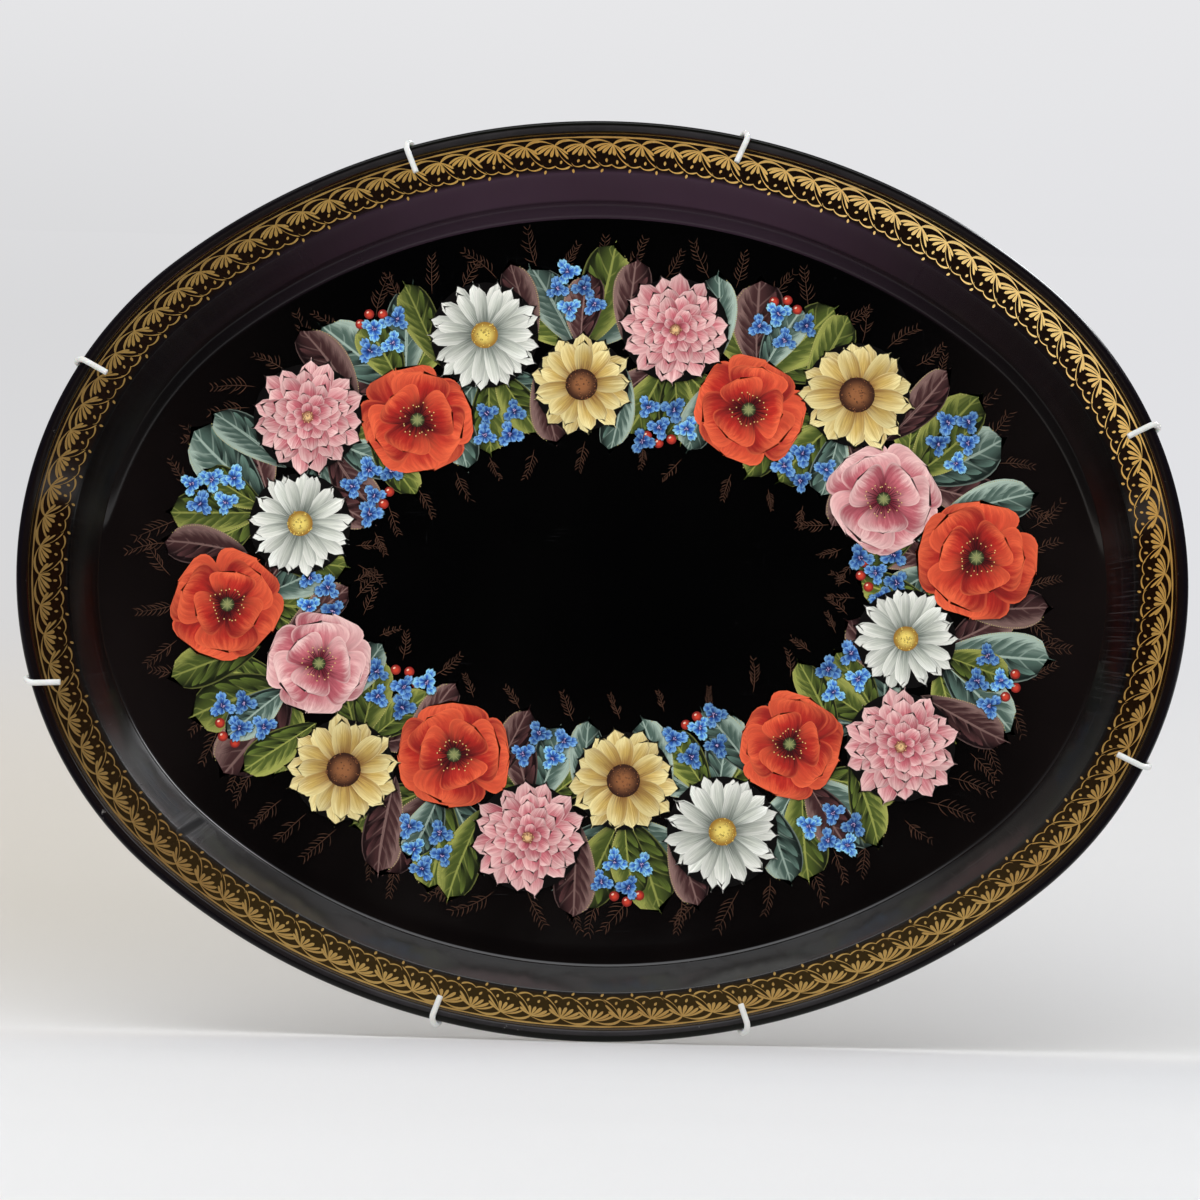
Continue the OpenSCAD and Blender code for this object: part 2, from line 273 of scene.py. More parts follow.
def lacquer_material():
    m = Tree("black_lacquer")
    o = m.obj()
    s = m.sep(o)
    cloud = m.noise(o, 9.0, 4.0, 0.6)
    fine = m.noise(o, 420.0, 3.0, 0.6)
    high_up = m.math("MULTIPLY", m.ramp(s[2], -0.03, 0.085), m.ramp(m.math("ABSOLUTE", s[0]), 0.18, 0.05, 0.14, 1.0))
    # the cove between wall and floor is as satin as the wall at the top only
    wall = m.math("MAXIMUM", m.attr("wall").outputs["Fac"], m.math("MULTIPLY", m.attr("cove").outputs["Fac"], m.ramp(s[2], -0.07, 0.02)))
    place = m.sep(m.attr("round").outputs["Vector"])
    # wipe marks: fine light scratches
    sx = m.xyz(m.math("MULTIPLY", s[0], 60.0), m.math("MULTIPLY", s[1], 60.0), m.math("MULTIPLY", s[2], 1900.0))
    sy = m.xyz(m.math("MULTIPLY", s[0], 1900.0), m.math("MULTIPLY", s[1], 60.0), m.math("MULTIPLY", s[2], 90.0))
    scr = m.math("MAXIMUM", m.ramp(m.noise(sx, 1.0, 1.0), 0.70, 0.80), m.ramp(m.noise(sy, 1.0, 1.0), 0.72, 0.82))
    scr = m.math("MULTIPLY", scr, m.ramp(m.noise(o, 24.0, 2.0), 0.5, 0.75))
    base = m.mix(m.ramp(cloud, 0.35, 0.75), (0.00025, 0.00025, 0.0003), (0.0007, 0.0006, 0.0006))
    # painted sheen: the lacquer is painted a little lighter towards the ends and the bottom, where it mirrors the
    # light
    painted_sheen = m.math("MAXIMUM", m.ramp(m.math("ABSOLUTE", s[0]), 0.10, 0.22), m.ramp(s[2], -0.10, -0.24))
    painted_sheen = m.math("MULTIPLY", painted_sheen, m.ramp(cloud, 0.25, 0.7, 0.5, 1.0))
    base = m.mix(m.math("MULTIPLY", painted_sheen, m.ramp(m.math("ABSOLUTE", s[0]), 0.13, 0.21, 0.42, 0.80)), base, (0.0100, 0.0066, 0.0062))
    base = m.mix(m.math("MULTIPLY", scr, 0.2), base, (0.06, 0.06, 0.065))
    # the wall is satin, with draw marks across it and faint streaks along it
    across = m.noise(m.xyz(m.math("MULTIPLY", place[0], 1.1), m.math("MULTIPLY", place[1], 0.06), 0.0), 1.0, 3.0, 0.6)
    along = m.noise(m.xyz(m.math("MULTIPLY", place[0], 0.012), m.math("MULTIPLY", place[1], 1.6), 3.0), 1.0, 3.0, 0.6)
    wcol = m.mix(m.ramp(cloud, 0.3, 0.75), (0.0012, 0.0007, 0.0007), (0.0032, 0.0020, 0.0020))
    # painted sheen: the wall at the top middle is painted a lighter purple-grey for the light it mirrors there, with
    # painted shade in the cove below it
    painted_top_sheen = m.mix(m.ramp(cloud, 0.3, 0.75), (0.0520, 0.0270, 0.0440), (0.0640, 0.0340, 0.0550))
    painted_top_sheen = m.mix(m.math("MULTIPLY", m.attr("cove").outputs["Fac"], 0.75), painted_top_sheen, (0.0240, 0.0130, 0.0205))
    wcol = m.mix(high_up, wcol, painted_top_sheen)
    # painted sheen: the lower part of the wall is painted a lighter grey
    foot = m.mix(m.ramp(cloud, 0.3, 0.75), (0.0130, 0.0115, 0.0105), (0.0210, 0.0190, 0.0175))
    wcol = m.mix(m.ramp(s[2], -0.10, -0.20), wcol, foot)
    # the draw marks are painted stronger towards the bottom: partly wear, partly painted sheen on the lower wall
    wear_and_low_sheen = m.ramp(s[2], 0.02, -0.16)
    pressed = m.math("MULTIPLY", m.ramp(s[0], 0.195, 0.225), m.ramp(m.math("ABSOLUTE", m.math("ADD", s[2], 0.100)), 0.055, 0.01))
    wcol = m.mix(m.math("MULTIPLY", m.ramp(across, 0.50, 0.72), m.math("MULTIPLY", pressed, 0.45)), wcol, (0.055, 0.050, 0.050))
    wcol = m.mix(m.math("MULTIPLY", m.ramp(across, 0.55, 0.8), m.math("MULTIPLY_ADD", wear_and_low_sheen, 0.30, 0.14)), wcol, (0.036, 0.032, 0.031))
    wcol = m.mix(m.math("MULTIPLY", m.ramp(along, 0.50, 0.8), m.math("MULTIPLY_ADD", wear_and_low_sheen, 0.40, 0.06)), wcol, (0.040, 0.036, 0.035))
    # a small knock in the wall at the lower left, drawn only in colour: painted shade in its fold and painted
    # highlights beside it
    kx, kz = m.math("ADD", s[0], 0.1715), m.math("ADD", s[2], 0.1945)
    fold = m.math("ABSOLUTE", m.math("ADD", m.math("MULTIPLY", kx, 0.669), m.math("MULTIPLY", kz, -0.743)))
    there = m.ramp(m.math("ABSOLUTE", m.math("ADD", m.math("MULTIPLY", kx, 0.743), m.math("MULTIPLY", kz, 0.669))), 0.040, 0.025)
    wcol = m.mix(m.math("MULTIPLY", there, m.math("MULTIPLY", m.ramp(fold, 0.0110, 0.0025), m.ramp(across, 0.30, 0.70, 0.10, 0.55))), wcol, (0.085, 0.083, 0.084))
    wcol = m.mix(m.math("MULTIPLY", there, m.ramp(fold, 0.0030, 0.0008, 0.0, 0.9)), wcol, (0.0050, 0.0048, 0.0050))
    base = m.mix(wall, base, wcol)
    band = m.attr("band").outputs["Fac"]
    # the flange band is tinted brown, with painted light making it lighter towards the bottom, where it faces up
    warm = m.mix(m.ramp(s[2], -0.10, -0.27), (0.0095, 0.0031, 0.0007), (0.0350, 0.0212, 0.0070))
    base = m.mix(m.math("MULTIPLY", band, 0.9), base, warm)
    # dust
    base = m.mix(m.math("MULTIPLY", m.ramp(fine, 0.66, 0.80), 0.05), base, (0.10, 0.10, 0.10))
    m.put(m.b.inputs["Base Color"], base)
    gloss = m.ramp(cloud, 0.3, 0.8, 0.06, 0.13)
    satin = m.math("MULTIPLY_ADD", m.math("ADD", across, along), 0.09, 0.06)
    rough = m.math("ADD", m.math("MULTIPLY", gloss, m.math("SUBTRACT", 1.0, wall)), m.math("MULTIPLY", satin, wall))
    dull = m.math("MULTIPLY", m.math("MULTIPLY", there, wall), m.ramp(fold, 0.0034, 0.0010, 0.0, 0.45))
    rough = m.math("ADD", rough, dull)
    m.put(m.b.inputs["Roughness"], rough)
    m.b.inputs["Specular IOR Level"].default_value = 0.5
    h = m.math("ADD", m.math("MULTIPLY", m.noise(o, 160.0, 2.0), 0.5), m.math("MULTIPLY", scr, -0.4))
    m.put(m.b.inputs["Normal"], m.bump(h, 0.05, 0.0004))
    return m.mat


def bead_material():
    """The rolled rim: duller than the rest, with a painted grey reflection on its inner half at the top and the
    bottom.
    """
    m = Tree("rim_lacquer")
    o = m.obj()
    s = m.sep(o)
    place = m.sep(m.attr("round").outputs["Vector"])
    ends = m.math("MULTIPLY", m.ramp(m.math("ABSOLUTE", m.math("ADD", s[2], 0.0841)), 0.06, 0.17), m.ramp(m.math("ABSOLUTE", s[0]), 0.17, 0.06, 0.15, 1.0))
    fine = m.noise(o, 60.0, 4.0, 0.6)
    outer = m.mix(ends, (0.0045, 0.0032, 0.0050), (0.0032, 0.0033, 0.0020))
    # painted reflection: the inner half is painted grey at the top and the bottom
    inner = m.mix(ends, (0.0060, 0.0036, 0.0036), m.mix(m.ramp(fine, 0.3, 0.7), (0.022, 0.020, 0.021), (0.034, 0.031, 0.032)))
    base = m.mix(m.ramp(place[1], 2.2, 2.9), outer, inner)
    base = m.mix(m.ramp(place[1], 4.55, 4.95), base, (0.0040, 0.0013, 0.0010))
    chip = m.ramp(m.noise(o, 190.0, 5.0, 0.7), 0.675, 0.72)
    base = m.mix(m.math("MULTIPLY", chip, 0.8), base, (0.17, 0.16, 0.15))
    m.put(m.b.inputs["Base Color"], base)
    m.put(m.b.inputs["Roughness"], m.math("ADD", m.ramp(fine, 0.3, 0.7, 0.14, 0.22), m.math("MULTIPLY", chip, 0.4)))
    m.b.inputs["Specular IOR Level"].default_value = 0.20
    h = m.math("ADD", m.math("MULTIPLY", m.noise(o, 160.0, 2.0), 0.5), m.math("MULTIPLY", chip, -0.4))
    m.put(m.b.inputs["Normal"], m.bump(h, 0.05, 0.0004))
    return m.mat


def paint_material():
    m = Tree("floral_paint")
    a, b, c = (m.attr(k).outputs["Color"] for k in ("ca", "cb", "cc"))
    s = m.sep(m.attr("puv").outputs["Vector"])
    u, v, seed = s[0], s[1], s[2]
    kind = m.attr("kind").outputs["Fac"]
    av = m.math("ABSOLUTE", v)
    wide = m.noise(m.xyz(m.math("MULTIPLY_ADD", u, 2.2, m.math("MULTIPLY", seed, 7.0)), m.math("MULTIPLY", v, 2.2), m.math("MULTIPLY", seed, 5.3)), 1.0, 3.0)
    hair = m.noise(m.xyz(m.math("MULTIPLY_ADD", u, 1.7, m.math("MULTIPLY", seed, 3.0)), m.math("MULTIPLY", v, 7.0), m.math("MULTIPLY", seed, 11.0)), 1.0, 4.0, 0.7)
    leafy = m.ramp(kind, 0.5, 0.6)
    plain = m.ramp(kind, 1.5, 1.6)
    leaf = m.math("SUBTRACT", leafy, plain)
    petal = m.math("SUBTRACT", 1.0, leafy)
    t = m.math("ADD", u, m.math("MULTIPLY", m.math("SUBTRACT", wide, 0.5), 0.35))
    t = m.math("ADD", t, m.math("MULTIPLY", m.math("SUBTRACT", hair, 0.5), 0.70))
    col = m.mix(m.ramp(t, 0.10, 0.66), a, b)
    col = m.mix(m.ramp(t, 0.58, 1.04), col, c)
    # one side of a petal is turned to the light
    lit = m.math("MULTIPLY", m.ramp(v, -0.1, 1.0), m.ramp(u, 0.15, 0.6))
    col = m.mix(m.math("MULTIPLY", lit, m.math("MULTIPLY", petal, 0.55)), col, c)
    dim = m.ramp(v, -0.15, -1.0)
    col = m.mix(m.math("MULTIPLY", dim, m.math("MULTIPLY", petal, 0.40)), col, a)
    # a fine light line along the lip
    lip = m.math("MULTIPLY", m.ramp(m.math("MAXIMUM", av, m.math("MULTIPLY", u, 0.985)), 0.90, 0.97), m.ramp(u, 0.3, 0.7))
    col = m.mix(m.math("MULTIPLY", lip, m.math("MULTIPLY", petal, 0.55)), col, c)
    # leaves: a dark half, a light half, curved veins
    side = m.ramp(v, -0.12, 0.12)
    lcol = m.mix(side, m.mix(m.ramp(av, 0.0, 0.9), b, a), m.mix(m.ramp(m.math("ADD", av, m.math("MULTIPLY", m.math("SUBTRACT", hair, 0.5), 0.9)), 0.1, 0.95), b, c))
    vein = m.math("PINGPONG", m.math("SUBTRACT", m.math("MULTIPLY", u, 6.0), m.math("MULTIPLY", av, 1.6)), 0.5)
    vein = m.math("MULTIPLY", m.ramp(vein, 0.10, 0.0), m.ramp(av, 1.0, 0.2))
    lcol = m.mix(m.math("MULTIPLY", vein, 0.45), lcol, c)
    rib = m.math("MULTIPLY", m.ramp(av, 0.07, 0.02), 0.8)
    lcol = m.mix(rib, lcol, c)
    lcol = m.mix(m.math("MULTIPLY", m.ramp(u, 0.35, 0.0), 0.75), lcol, a)
    lcol = m.mix(m.math("MULTIPLY", m.ramp(av, 0.90, 0.97), 0.35), lcol, c)
    col = m.mix(leaf, col, lcol)
    col = m.mix(plain, col, m.mix(m.ramp(u, 0.25, 0.95), c, m.mix(0.5, b, a)))
    br = m.math("MULTIPLY_ADD", hair, 0.5, 0.75)
    col = m.mix(1.0, col, m.xyz(br, br, br), "MULTIPLY")
    m.put(m.b.inputs["Base Color"], col)
    m.put(m.b.inputs["Roughness"], m.math("MULTIPLY_ADD", wide, 0.15, 0.24))
    m.b.inputs["Specular IOR Level"].default_value = 0.35
    m.b.inputs["Coat Weight"].default_value = 0.5
    m.b.inputs["Coat Roughness"].default_value = 0.06
    m.put(m.b.inputs["Normal"], m.bump(hair, 0.05, 0.0002))
    return m.mat


def gold_material():
    m = Tree("gold_paint")
    o = m.obj()
    big = m.noise(o, 12.0, 3.0)
    fine = m.noise(o, 900.0, 3.0, 0.6)
    thick = m.attr("load").outputs["Fac"]
    col = m.mix(m.ramp(big, 0.3, 0.7), (0.69, 0.366, 0.067), (0.89, 0.53, 0.116))
    col = m.mix(m.math("MULTIPLY", m.ramp(fine, 0.55, 0.75), 0.5), col, (0.95, 0.70, 0.26))
    col = m.mix(m.math("MULTIPLY", m.ramp(thick, 0.5, 0.0), 0.35), col, (0.36, 0.19, 0.045))
    # painted light: the gold is brightened and paled, or dulled, by where it sits round the rim
    glow = m.attr("gold_painted_light").outputs["Fac"]
    col = m.mix(m.ramp(glow, 0.8, 1.4, 0.0, 0.5), col, (0.90, 0.68, 0.30))
    col = m.mix(1.0, col, m.xyz(glow, glow, glow), "MULTIPLY")
    m.put(m.b.inputs["Base Color"], col)
    m.put(m.b.inputs["Roughness"], m.math("MULTIPLY_ADD", fine, 0.2, 0.36))
    m.b.inputs["Metallic"].default_value = 0.12
    m.b.inputs["Coat Weight"].default_value = 0.3
    m.b.inputs["Coat Roughness"].default_value = 0.08
    m.put(m.b.inputs["Normal"], m.bump(fine, 0.12, 0.0002))
    return m.mat


def metal_material(name, c0, c1, rough, along=900.0):
    m = Tree(name)
    o = m.obj()
    big = m.noise(o, 70.0, 4.0, 0.6)
    fine = m.noise(o, along, 2.0)
    col = m.mix(m.ramp(big, 0.3, 0.75), c0, c1)
    col = m.mix(m.math("MULTIPLY", m.ramp(m.noise(o, 210.0, 4.0, 0.7), 0.62, 0.75), 0.5), col, (0.22, 0.16, 0.10))
    m.put(m.b.inputs["Base Color"], col)
    m.b.inputs["Metallic"].default_value = 1.0
    m.put(m.b.inputs["Roughness"], m.math("MULTIPLY_ADD", big, 0.25, rough))
    m.put(m.b.inputs["Normal"], m.bump(fine, 0.1, 0.0001))
    return m.mat


def sleeve_material():
    m = Tree("white_vinyl")
    o = m.obj()
    big = m.noise(o, 160.0, 3.0)
    col = m.mix(m.ramp(big, 0.35, 0.7), (0.78, 0.77, 0.73), (0.87, 0.87, 0.85))
    col = m.mix(m.math("MULTIPLY", m.ramp(m.noise(o, 600.0, 4.0, 0.7), 0.60, 0.74), 0.25), col, (0.45, 0.43, 0.38))
    m.put(m.b.inputs["Base Color"], col)
    m.put(m.b.inputs["Roughness"], m.math("MULTIPLY_ADD", big, 0.2, 0.32))
    m.b.inputs["Subsurface Weight"].default_value = 0.1
    m.b.inputs["Subsurface Scale"].default_value = 0.001
    m.put(m.b.inputs["Normal"], m.bump(m.noise(o, 900.0, 2.0), 0.06, 0.0002))
    return m.mat


LACQUER, PAINT, GOLD = lacquer_material(), paint_material(), gold_material()
WIRE = metal_material("zinc_wire", (0.42, 0.42, 0.41), (0.58, 0.58, 0.56), 0.28)
SPRING = metal_material("spring_wire", (0.50, 0.50, 0.49), (0.66, 0.65, 0.63), 0.20)
RIMSTEEL = metal_material("rim_steel", (0.40, 0.40, 0.41), (0.52, 0.52, 0.53), 0.35)
VINYL = sleeve_material()

# --------------------------------------------------------------------- tray


def oval_angles(n_end, n_long):
    """(centre x, centre y, radius kind, angle) once round, anticlockwise from the right."""
    out = []
    for i in range(n_end):
        out.append((1, 0, 0, -TURN + 2 * TURN * i / n_end))
    for i in range(n_long):
        out.append((0, -1, 1, TURN + (math.pi - 2 * TURN) * i / n_long))
    for i in range(n_end):
        out.append((-1, 0, 0, math.pi - TURN + 2 * TURN * i / n_end))
    for i in range(n_long):
        out.append((0, 1, 1, math.pi + TURN + (math.pi - 2 * TURN) * i / n_long))
    return out


def oval_ring(d, z, st):
    return np.array([[sx * C1 + ((R1, R2)[k] - d) * math.cos(t), sy * C2 + ((R1, R2)[k] - d) * math.sin(t), z] for sx, sy, k, t in st])


WALL_IN, FLANGE_IN, FLANGE_DROP, FLANGE_START = 32.6, 20.1, 11.5, 3.0
FMID = FLOOR - SHEET / 2
v0, v1, v2 = (WALL_IN + 8, FMID), (WALL_IN, FMID), (FLANGE_IN, -FLANGE_DROP)
v3, v4 = (BEAD_R + BEAD_MID, -FLANGE_START), (BEAD_R + BEAD_MID, 0.0)
CURL = math.radians(305)
mid = [np.array(v0)] + corner(v0, v1, v2, 8.0, 14)
wall_a, wall_b = mid[-1], corner(v1, v2, v3, 1.6, 8)[0]
mid += [wall_a + (wall_b - wall_a) * k / 6 for k in range(1, 6)]
mid += corner(v1, v2, v3, 1.6, 8)
fl_a, fl_b = mid[-1], corner(v2, v3, v4, 1.0, 6)[0]
mid += [fl_a + (fl_b - fl_a) * k / 6 for k in range(1, 6)]
mid += corner(v2, v3, v4, 1.0, 6)
mid += [np.array([BEAD_R, 0]) + BEAD_MID * np.array([math.cos(CURL * i / 44), math.sin(CURL * i / 44)]) for i in range(45)]
mid = np.array(mid)
last = len(mid) - 1


def heading(i):
    return np.array([-1.0, 0.0]) if i == 0 else unit(mid[min(i + 1, last)] - mid[i - 1])


def sheet_side(i, o):
    h = heading(i)
    return mid[i] + o * np.array([h[1], -h[0]])


section = [sheet_side(i, SHEET / 2) for i in range(last + 1)]
lip = [sheet_side(last, SHEET / 2 * math.cos(t)) + heading(last) * SHEET / 2 * math.sin(t) for t in (math.pi / 4, math.pi / 2, 3 * math.pi / 4)]
section += lip + [sheet_side(i, -SHEET / 2) for i in range(last, -1, -1)]
st = oval_angles(84, 96)
n = len(st)
rings = [oval_ring(p[0], p[1], st) for p in section]
# the floor closes with a few inner rings, so that its faces stay small
inner = [oval_ring(43 + (R1 - 48) * k / 4.0, FLOOR, st) for k in (4, 3, 2, 1)]
rings_all = np.array([row(r) for r in inner + rings])
faces = skin_faces(len(rings_all), n, caps=True)
run = np.r_[0, np.cumsum(np.linalg.norm(np.diff(oval_ring(20.0, 0.0, st), axis=0), axis=1))]
rim_w, wall_w, band_w, cove_w, place = [], [], [], [], []
for k, p in enumerate(inner + section):
    d = float(p[0]) if k >= len(inner) else 99.0
    z = float(p[1]) if k >= len(inner) else -30.0
    on_bead = 1.0 if (d < 4.9 and math.hypot(d - BEAD_R, z) > 2.4) else 0.0
    on_wall = 1.0 if (19.8 < d < 30.4 and z < -10.6) else 0.0
    on_cove = 1.0 if (29.9 < d < 36.3 and len(inner) <= k < len(inner) + last + 1) else 0.0
    on_band = 1.0 if (4.9 < d < 19.8 and len(inner) <= k < len(inner) + last + 1) else 0.0
    rim_w.append(on_bead)
    wall_w.append(np.full(n, on_wall))
    band_w.append(np.full(n, on_band))
    cove_w.append(np.full(n, on_cove))
    place.append(np.c_[run, np.full(n, d), np.full(n, z)])
on_roll = [all(rim_w[v // n] > 0.5 for v in f) for f in faces]
round_ = ("FLOAT_VECTOR", np.concatenate(place))
tray = make("tray_body", rings_all.reshape(-1, 3), [f[::-1] for f, r in zip(faces, on_roll) if not r], LACQUER, attrs={"wall": ("FLOAT", np.concatenate(wall_w)), "band": ("FLOAT", np.concatenate(band_w)), "cove": ("FLOAT", np.concatenate(cove_w)), "round": round_})
roll = make("tray_roll", rings_all.reshape(-1, 3), [f[::-1] for f, r in zip(faces, on_roll) if r], bead_material(), attrs={"round": round_})
for piece in (tray, roll):
    bm = bmesh.new()
    bm.from_mesh(piece.data)
    bmesh.ops.delete(bm, geom=[v for v in bm.verts if not v.link_faces], context="VERTS")
    bm.to_mesh(piece.data)
    bm.free()
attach(roll, "tray")
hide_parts("tray_shell")
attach(tray, "tray")
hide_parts("tray_shell")

# the stiffening wire inside the curl
wr = np.array([row(oval_ring(BEAD_R + 1.7 * math.cos(t), 1.7 * math.sin(t), st)) for t in np.arange(16) * math.pi / 8])
rimw = make("rim_core", wr.reshape(-1, 3), [f[::-1] for f in skin_faces(16, n, joined=True)], RIMSTEEL)
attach(rimw, "tray")
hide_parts("rim_wire")

# -------------------------------------------------------- gold border strokes
BAND0, BAND1 = 5.95, 19.85
slope_f = math.atan2(FLANGE_DROP - FLANGE_START, FLANGE_IN - (BEAD_R + BEAD_MID))
D_MIDBAND = 13.0
arc_e, arc_l = 2 * TURN * (R1 - D_MIDBAND), (math.pi - 2 * TURN) * (R2 - D_MIDBAND)
PERIM = 2 * (arc_e + arc_l)


def on_band(s, d, h):
    """Point on the flange: s mm clockwise round the band from the top, d mm in from the edge, h above the surface."""
    s = (-s) % PERIM  # anticlockwise from the top middle
    segs = [(0, -1, 1, math.pi / 2, arc_l / 2), (-1, 0, 0, math.pi - TURN, arc_e), (0, 1, 1, math.pi + TURN, arc_l), (1, 0, 0, -TURN, arc_e), (0, -1, 1, TURN, arc_l / 2)]
    for sx, sy, k, a0, ln in segs:
        if s <= ln:
            break
        s -= ln
    r = (R1, R2)[k]
    t = a0 + s / (r - D_MIDBAND)
    z = -FLANGE_START - math.tan(slope_f) * (d - (BEAD_R + BEAD_MID)) + (SHEET / 2 + h) * math.cos(slope_f)
    d = d + (SHEET / 2 + h) * math.sin(slope_f)
    return (sx * C1 + (r - d) * math.cos(t), sy * C2 + (r - d) * math.sin(t), z)


def bez(p, n):
    p = [np.array(q, float) for q in p]
    t = np.linspace(0, 1, n)[:, None]
    if len(p) == 3:
        return (1 - t) ** 2 * p[0] + 2 * t * (1 - t) * p[1] + t * t * p[2]
    return (1 - t) ** 3 * p[0] + 3 * t * (1 - t) ** 2 * p[1] + 3 * t * t * (1 - t) * p[2] + t ** 3 * p[3]


def ribbon(line, width):
    """Two-sided outline of a brush stroke: rows of left, middle, right points."""
    line = np.asarray(line, float)
    d = np.gradient(line, axis=0)
    d /= np.linalg.norm(d, axis=1)[:, None] + 1e-12
    nrm = np.c_[-d[:, 1], d[:, 0]]
    w = np.asarray(width)[:, None] / 2
    return np.stack([line + nrm * w, line, line - nrm * w], axis=1)


rng = random.Random(41)
g_v, g_f, g_load, g_painted_light = [], [], [], []
UNITS = 106
PITCH = PERIM / UNITS
T_SCALE = (BAND1 - BAND0) / 15.4


def gold_painted_light(s):
    """Painted light: the gold is painted brightest at the upper right, where it catches the light, and dullest in
    shade at the left.
    """
    t = (s / PERIM) % 1.0

    def hump(c, w):
        g = abs(t - c)
        g = min(g, 1.0 - g)
        return math.exp(-(g / w) ** 2)

    return GOLD_PAINTED_LIGHT[0] + GOLD_PAINTED_LIGHT[1] * hump(0.13, 0.10) + GOLD_PAINTED_LIGHT[2] * hump(0.98, 0.07) + GOLD_PAINTED_LIGHT[3] * hump(0.70, 0.10)


GOLD_PAINTED_LIGHT = (0.47, 0.93, 0.32, -0.18)


def tear(n, w, fat=0.72, start=0.25):
    t = np.linspace(0, 1, n)
    return w * np.maximum(0.0, (start + (1 - start) * np.clip(t / fat, 0, 1) ** 1.2) * np.sqrt(np.clip(1 - np.clip((t - fat) / (1 - fat), 0, 1) ** 2, 0, 1))) + 0.02


def swell(n, w, thin=0.3):
    t = np.linspace(0, 1, n)
    return w * (thin + (1 - thin) * np.sin(math.pi * t) ** 0.8) * np.clip(np.minimum(t, 1 - t) * 14, 0.15, 1)


def gold_stroke(line, width, s0, h):
    rb = ribbon(line, width)
    k = len(g_v)
    for rowp in rb:
        for j, q in enumerate(rowp):
            g_v.append(on_band(s0 + q[0], BAND0 + q[1] * T_SCALE, h + (0.012 if j == 1 else 0.0)))
            g_load.append(1.0 if j == 1 else 0.35)
            g_painted_light.append(gold_painted_light(s0 + q[0]))
    for i in range(len(rb) - 1):
        a = k + 3 * i
        g_f.append((a, a + 1, a + 4, a + 3))
        g_f.append((a + 1, a + 2, a + 5, a + 4))


def brush(n, w, keys):
    """Stroke width along its length from (place, share of w) keys."""
    return w * np.interp(np.linspace(0, 1, n), [k[0] for k in keys], [k[1] for k in keys])


TEAR = ((0, 0.28), (0.35, 0.5), (0.62, 0.9), (0.78, 1.0), (0.92, 0.82), (0.98, 0.45), (1.0, 0.12))
ARCH = ((0, 0.40), (0.10, 0.80), (0.22, 1.0), (0.48, 0.92), (0.68, 0.5), (0.85, 0.28), (1.0, 0.16))
DROP = ((0, 0.15), (0.12, 0.62), (0.35, 1.0), (0.65, 0.92), (0.88, 0.55), (1.0, 0.12))
PETALS = [  # end of each fan stroke from its foot, bow towards the line, width
    ((-9.4, 2.1), -2.0, 1.00), ((-7.5, 3.1), -1.4, 1.28), ((-5.0, 4.2), -0.8, 1.45), ((-2.2, 5.0), -0.2, 1.50),
    ((0.7, 4.8), 0.1, 1.42), ((5.2, 3.9), -0.5, 1.05), ((5.7, 6.3), -0.3, 0.90)]
for k in range(UNITS):
    s0 = k * PITCH + rng.uniform(-0.35, 0.35)
    dt = rng.uniform(-0.2, 0.2)
    sc = rng.uniform(0.92, 1.06)
    lean = rng.uniform(-0.5, 0.5)
    foot = np.array([0.0, 3.1 + dt])
    # arch from this fan's foot to the next one's, heavy at first
    gold_stroke(bez([foot + (0.0, 0.1), (3.0, 0.2 + dt), (7.6, 0.6 + dt), (PITCH - 0.2, 3.0)], 18), brush(18, rng.uniform(1.05, 1.3), ARCH), s0, 0.020)
    for e, bow, w in PETALS:
        e = np.array(e) * sc * (1 + rng.uniform(-0.07, 0.07)) + (lean * rng.uniform(0.3, 1.0), rng.uniform(-0.2, 0.2))
        c = foot + e * 0.5 + (0.0, bow)
        gold_stroke(bez([foot + (0.0, 0.05), c, foot + e], 13), brush(13, w * rng.uniform(0.88, 1.12), TEAR), s0, 0.026 + 0.003 * abs(e[0]))
    # thin tail that runs down to the bracket's end
    gold_stroke(bez([foot + (0.6, 0.9), foot + (1.3, 4.6), foot + (4.2, 7.6), foot + (7.2 + lean * 0.5, 9.3)], 14), brush(14, rng.uniform(0.42, 0.58), ((0, 0.3), (0.5, 0.45), (0.85, 1.0), (0.97, 0.7), (1, 0.2))), s0, 0.024)
    # two drops under the fan
    tilt = rng.uniform(-0.1, 0.9)
    for x in (-2.6, 2.2):
        c = np.array([x + rng.uniform(-0.4, 0.4), 10.2 + 0.12 * x + rng.uniform(-0.35, 0.35)])
        dv = np.array([math.sin(tilt), -math.cos(tilt)]) * 0.85 * rng.uniform(0.85, 1.1)
        gold_stroke(bez([c + dv, c, c - dv], 9), brush(9, 1.08, DROP), s0, 0.02)
    # two-lobed bracket with a heavy end
    x0, y0 = rng.uniform(-0.3, 0.3), rng.uniform(-0.25, 0.25)
    gold_stroke(bez([(-5.9 + x0, 11.0 + y0), (-5.0, 13.1 + y0), (-2.0, 13.0 + y0), (-0.2 + x0, 11.9 + y0)], 12), brush(12, rng.uniform(0.55, 0.72), ((0, 0.22), (0.4, 0.5), (0.8, 1.0), (1.0, 0.5))), s0, 0.022)
    gold_stroke(bez([(-0.4 + x0, 11.8 + y0), (1.2, 13.7 + y0), (4.0, 13.8 + y0), (6.3 + x0, 12.3 + y0)], 14), brush(14, rng.uniform(0.82, 1.0), ((0, 0.3), (0.3, 0.5), (0.7, 0.85), (0.88, 1.0), (0.96, 0.7), (1.0, 0.2))), s0, 0.022)
    # drop at the flange's inner edge
    tilt = rng.uniform(-0.2, 0.7)
    c = np.array([7.7 + rng.uniform(-0.35, 0.35), 14.5 + rng.uniform(-0.2, 0.1)])
    dv = np.array([math.sin(tilt), -math.cos(tilt)]) * 0.85
    gold_stroke(bez([c + dv, c, c - dv], 9), brush(9, 1.12, DROP), s0, 0.02)
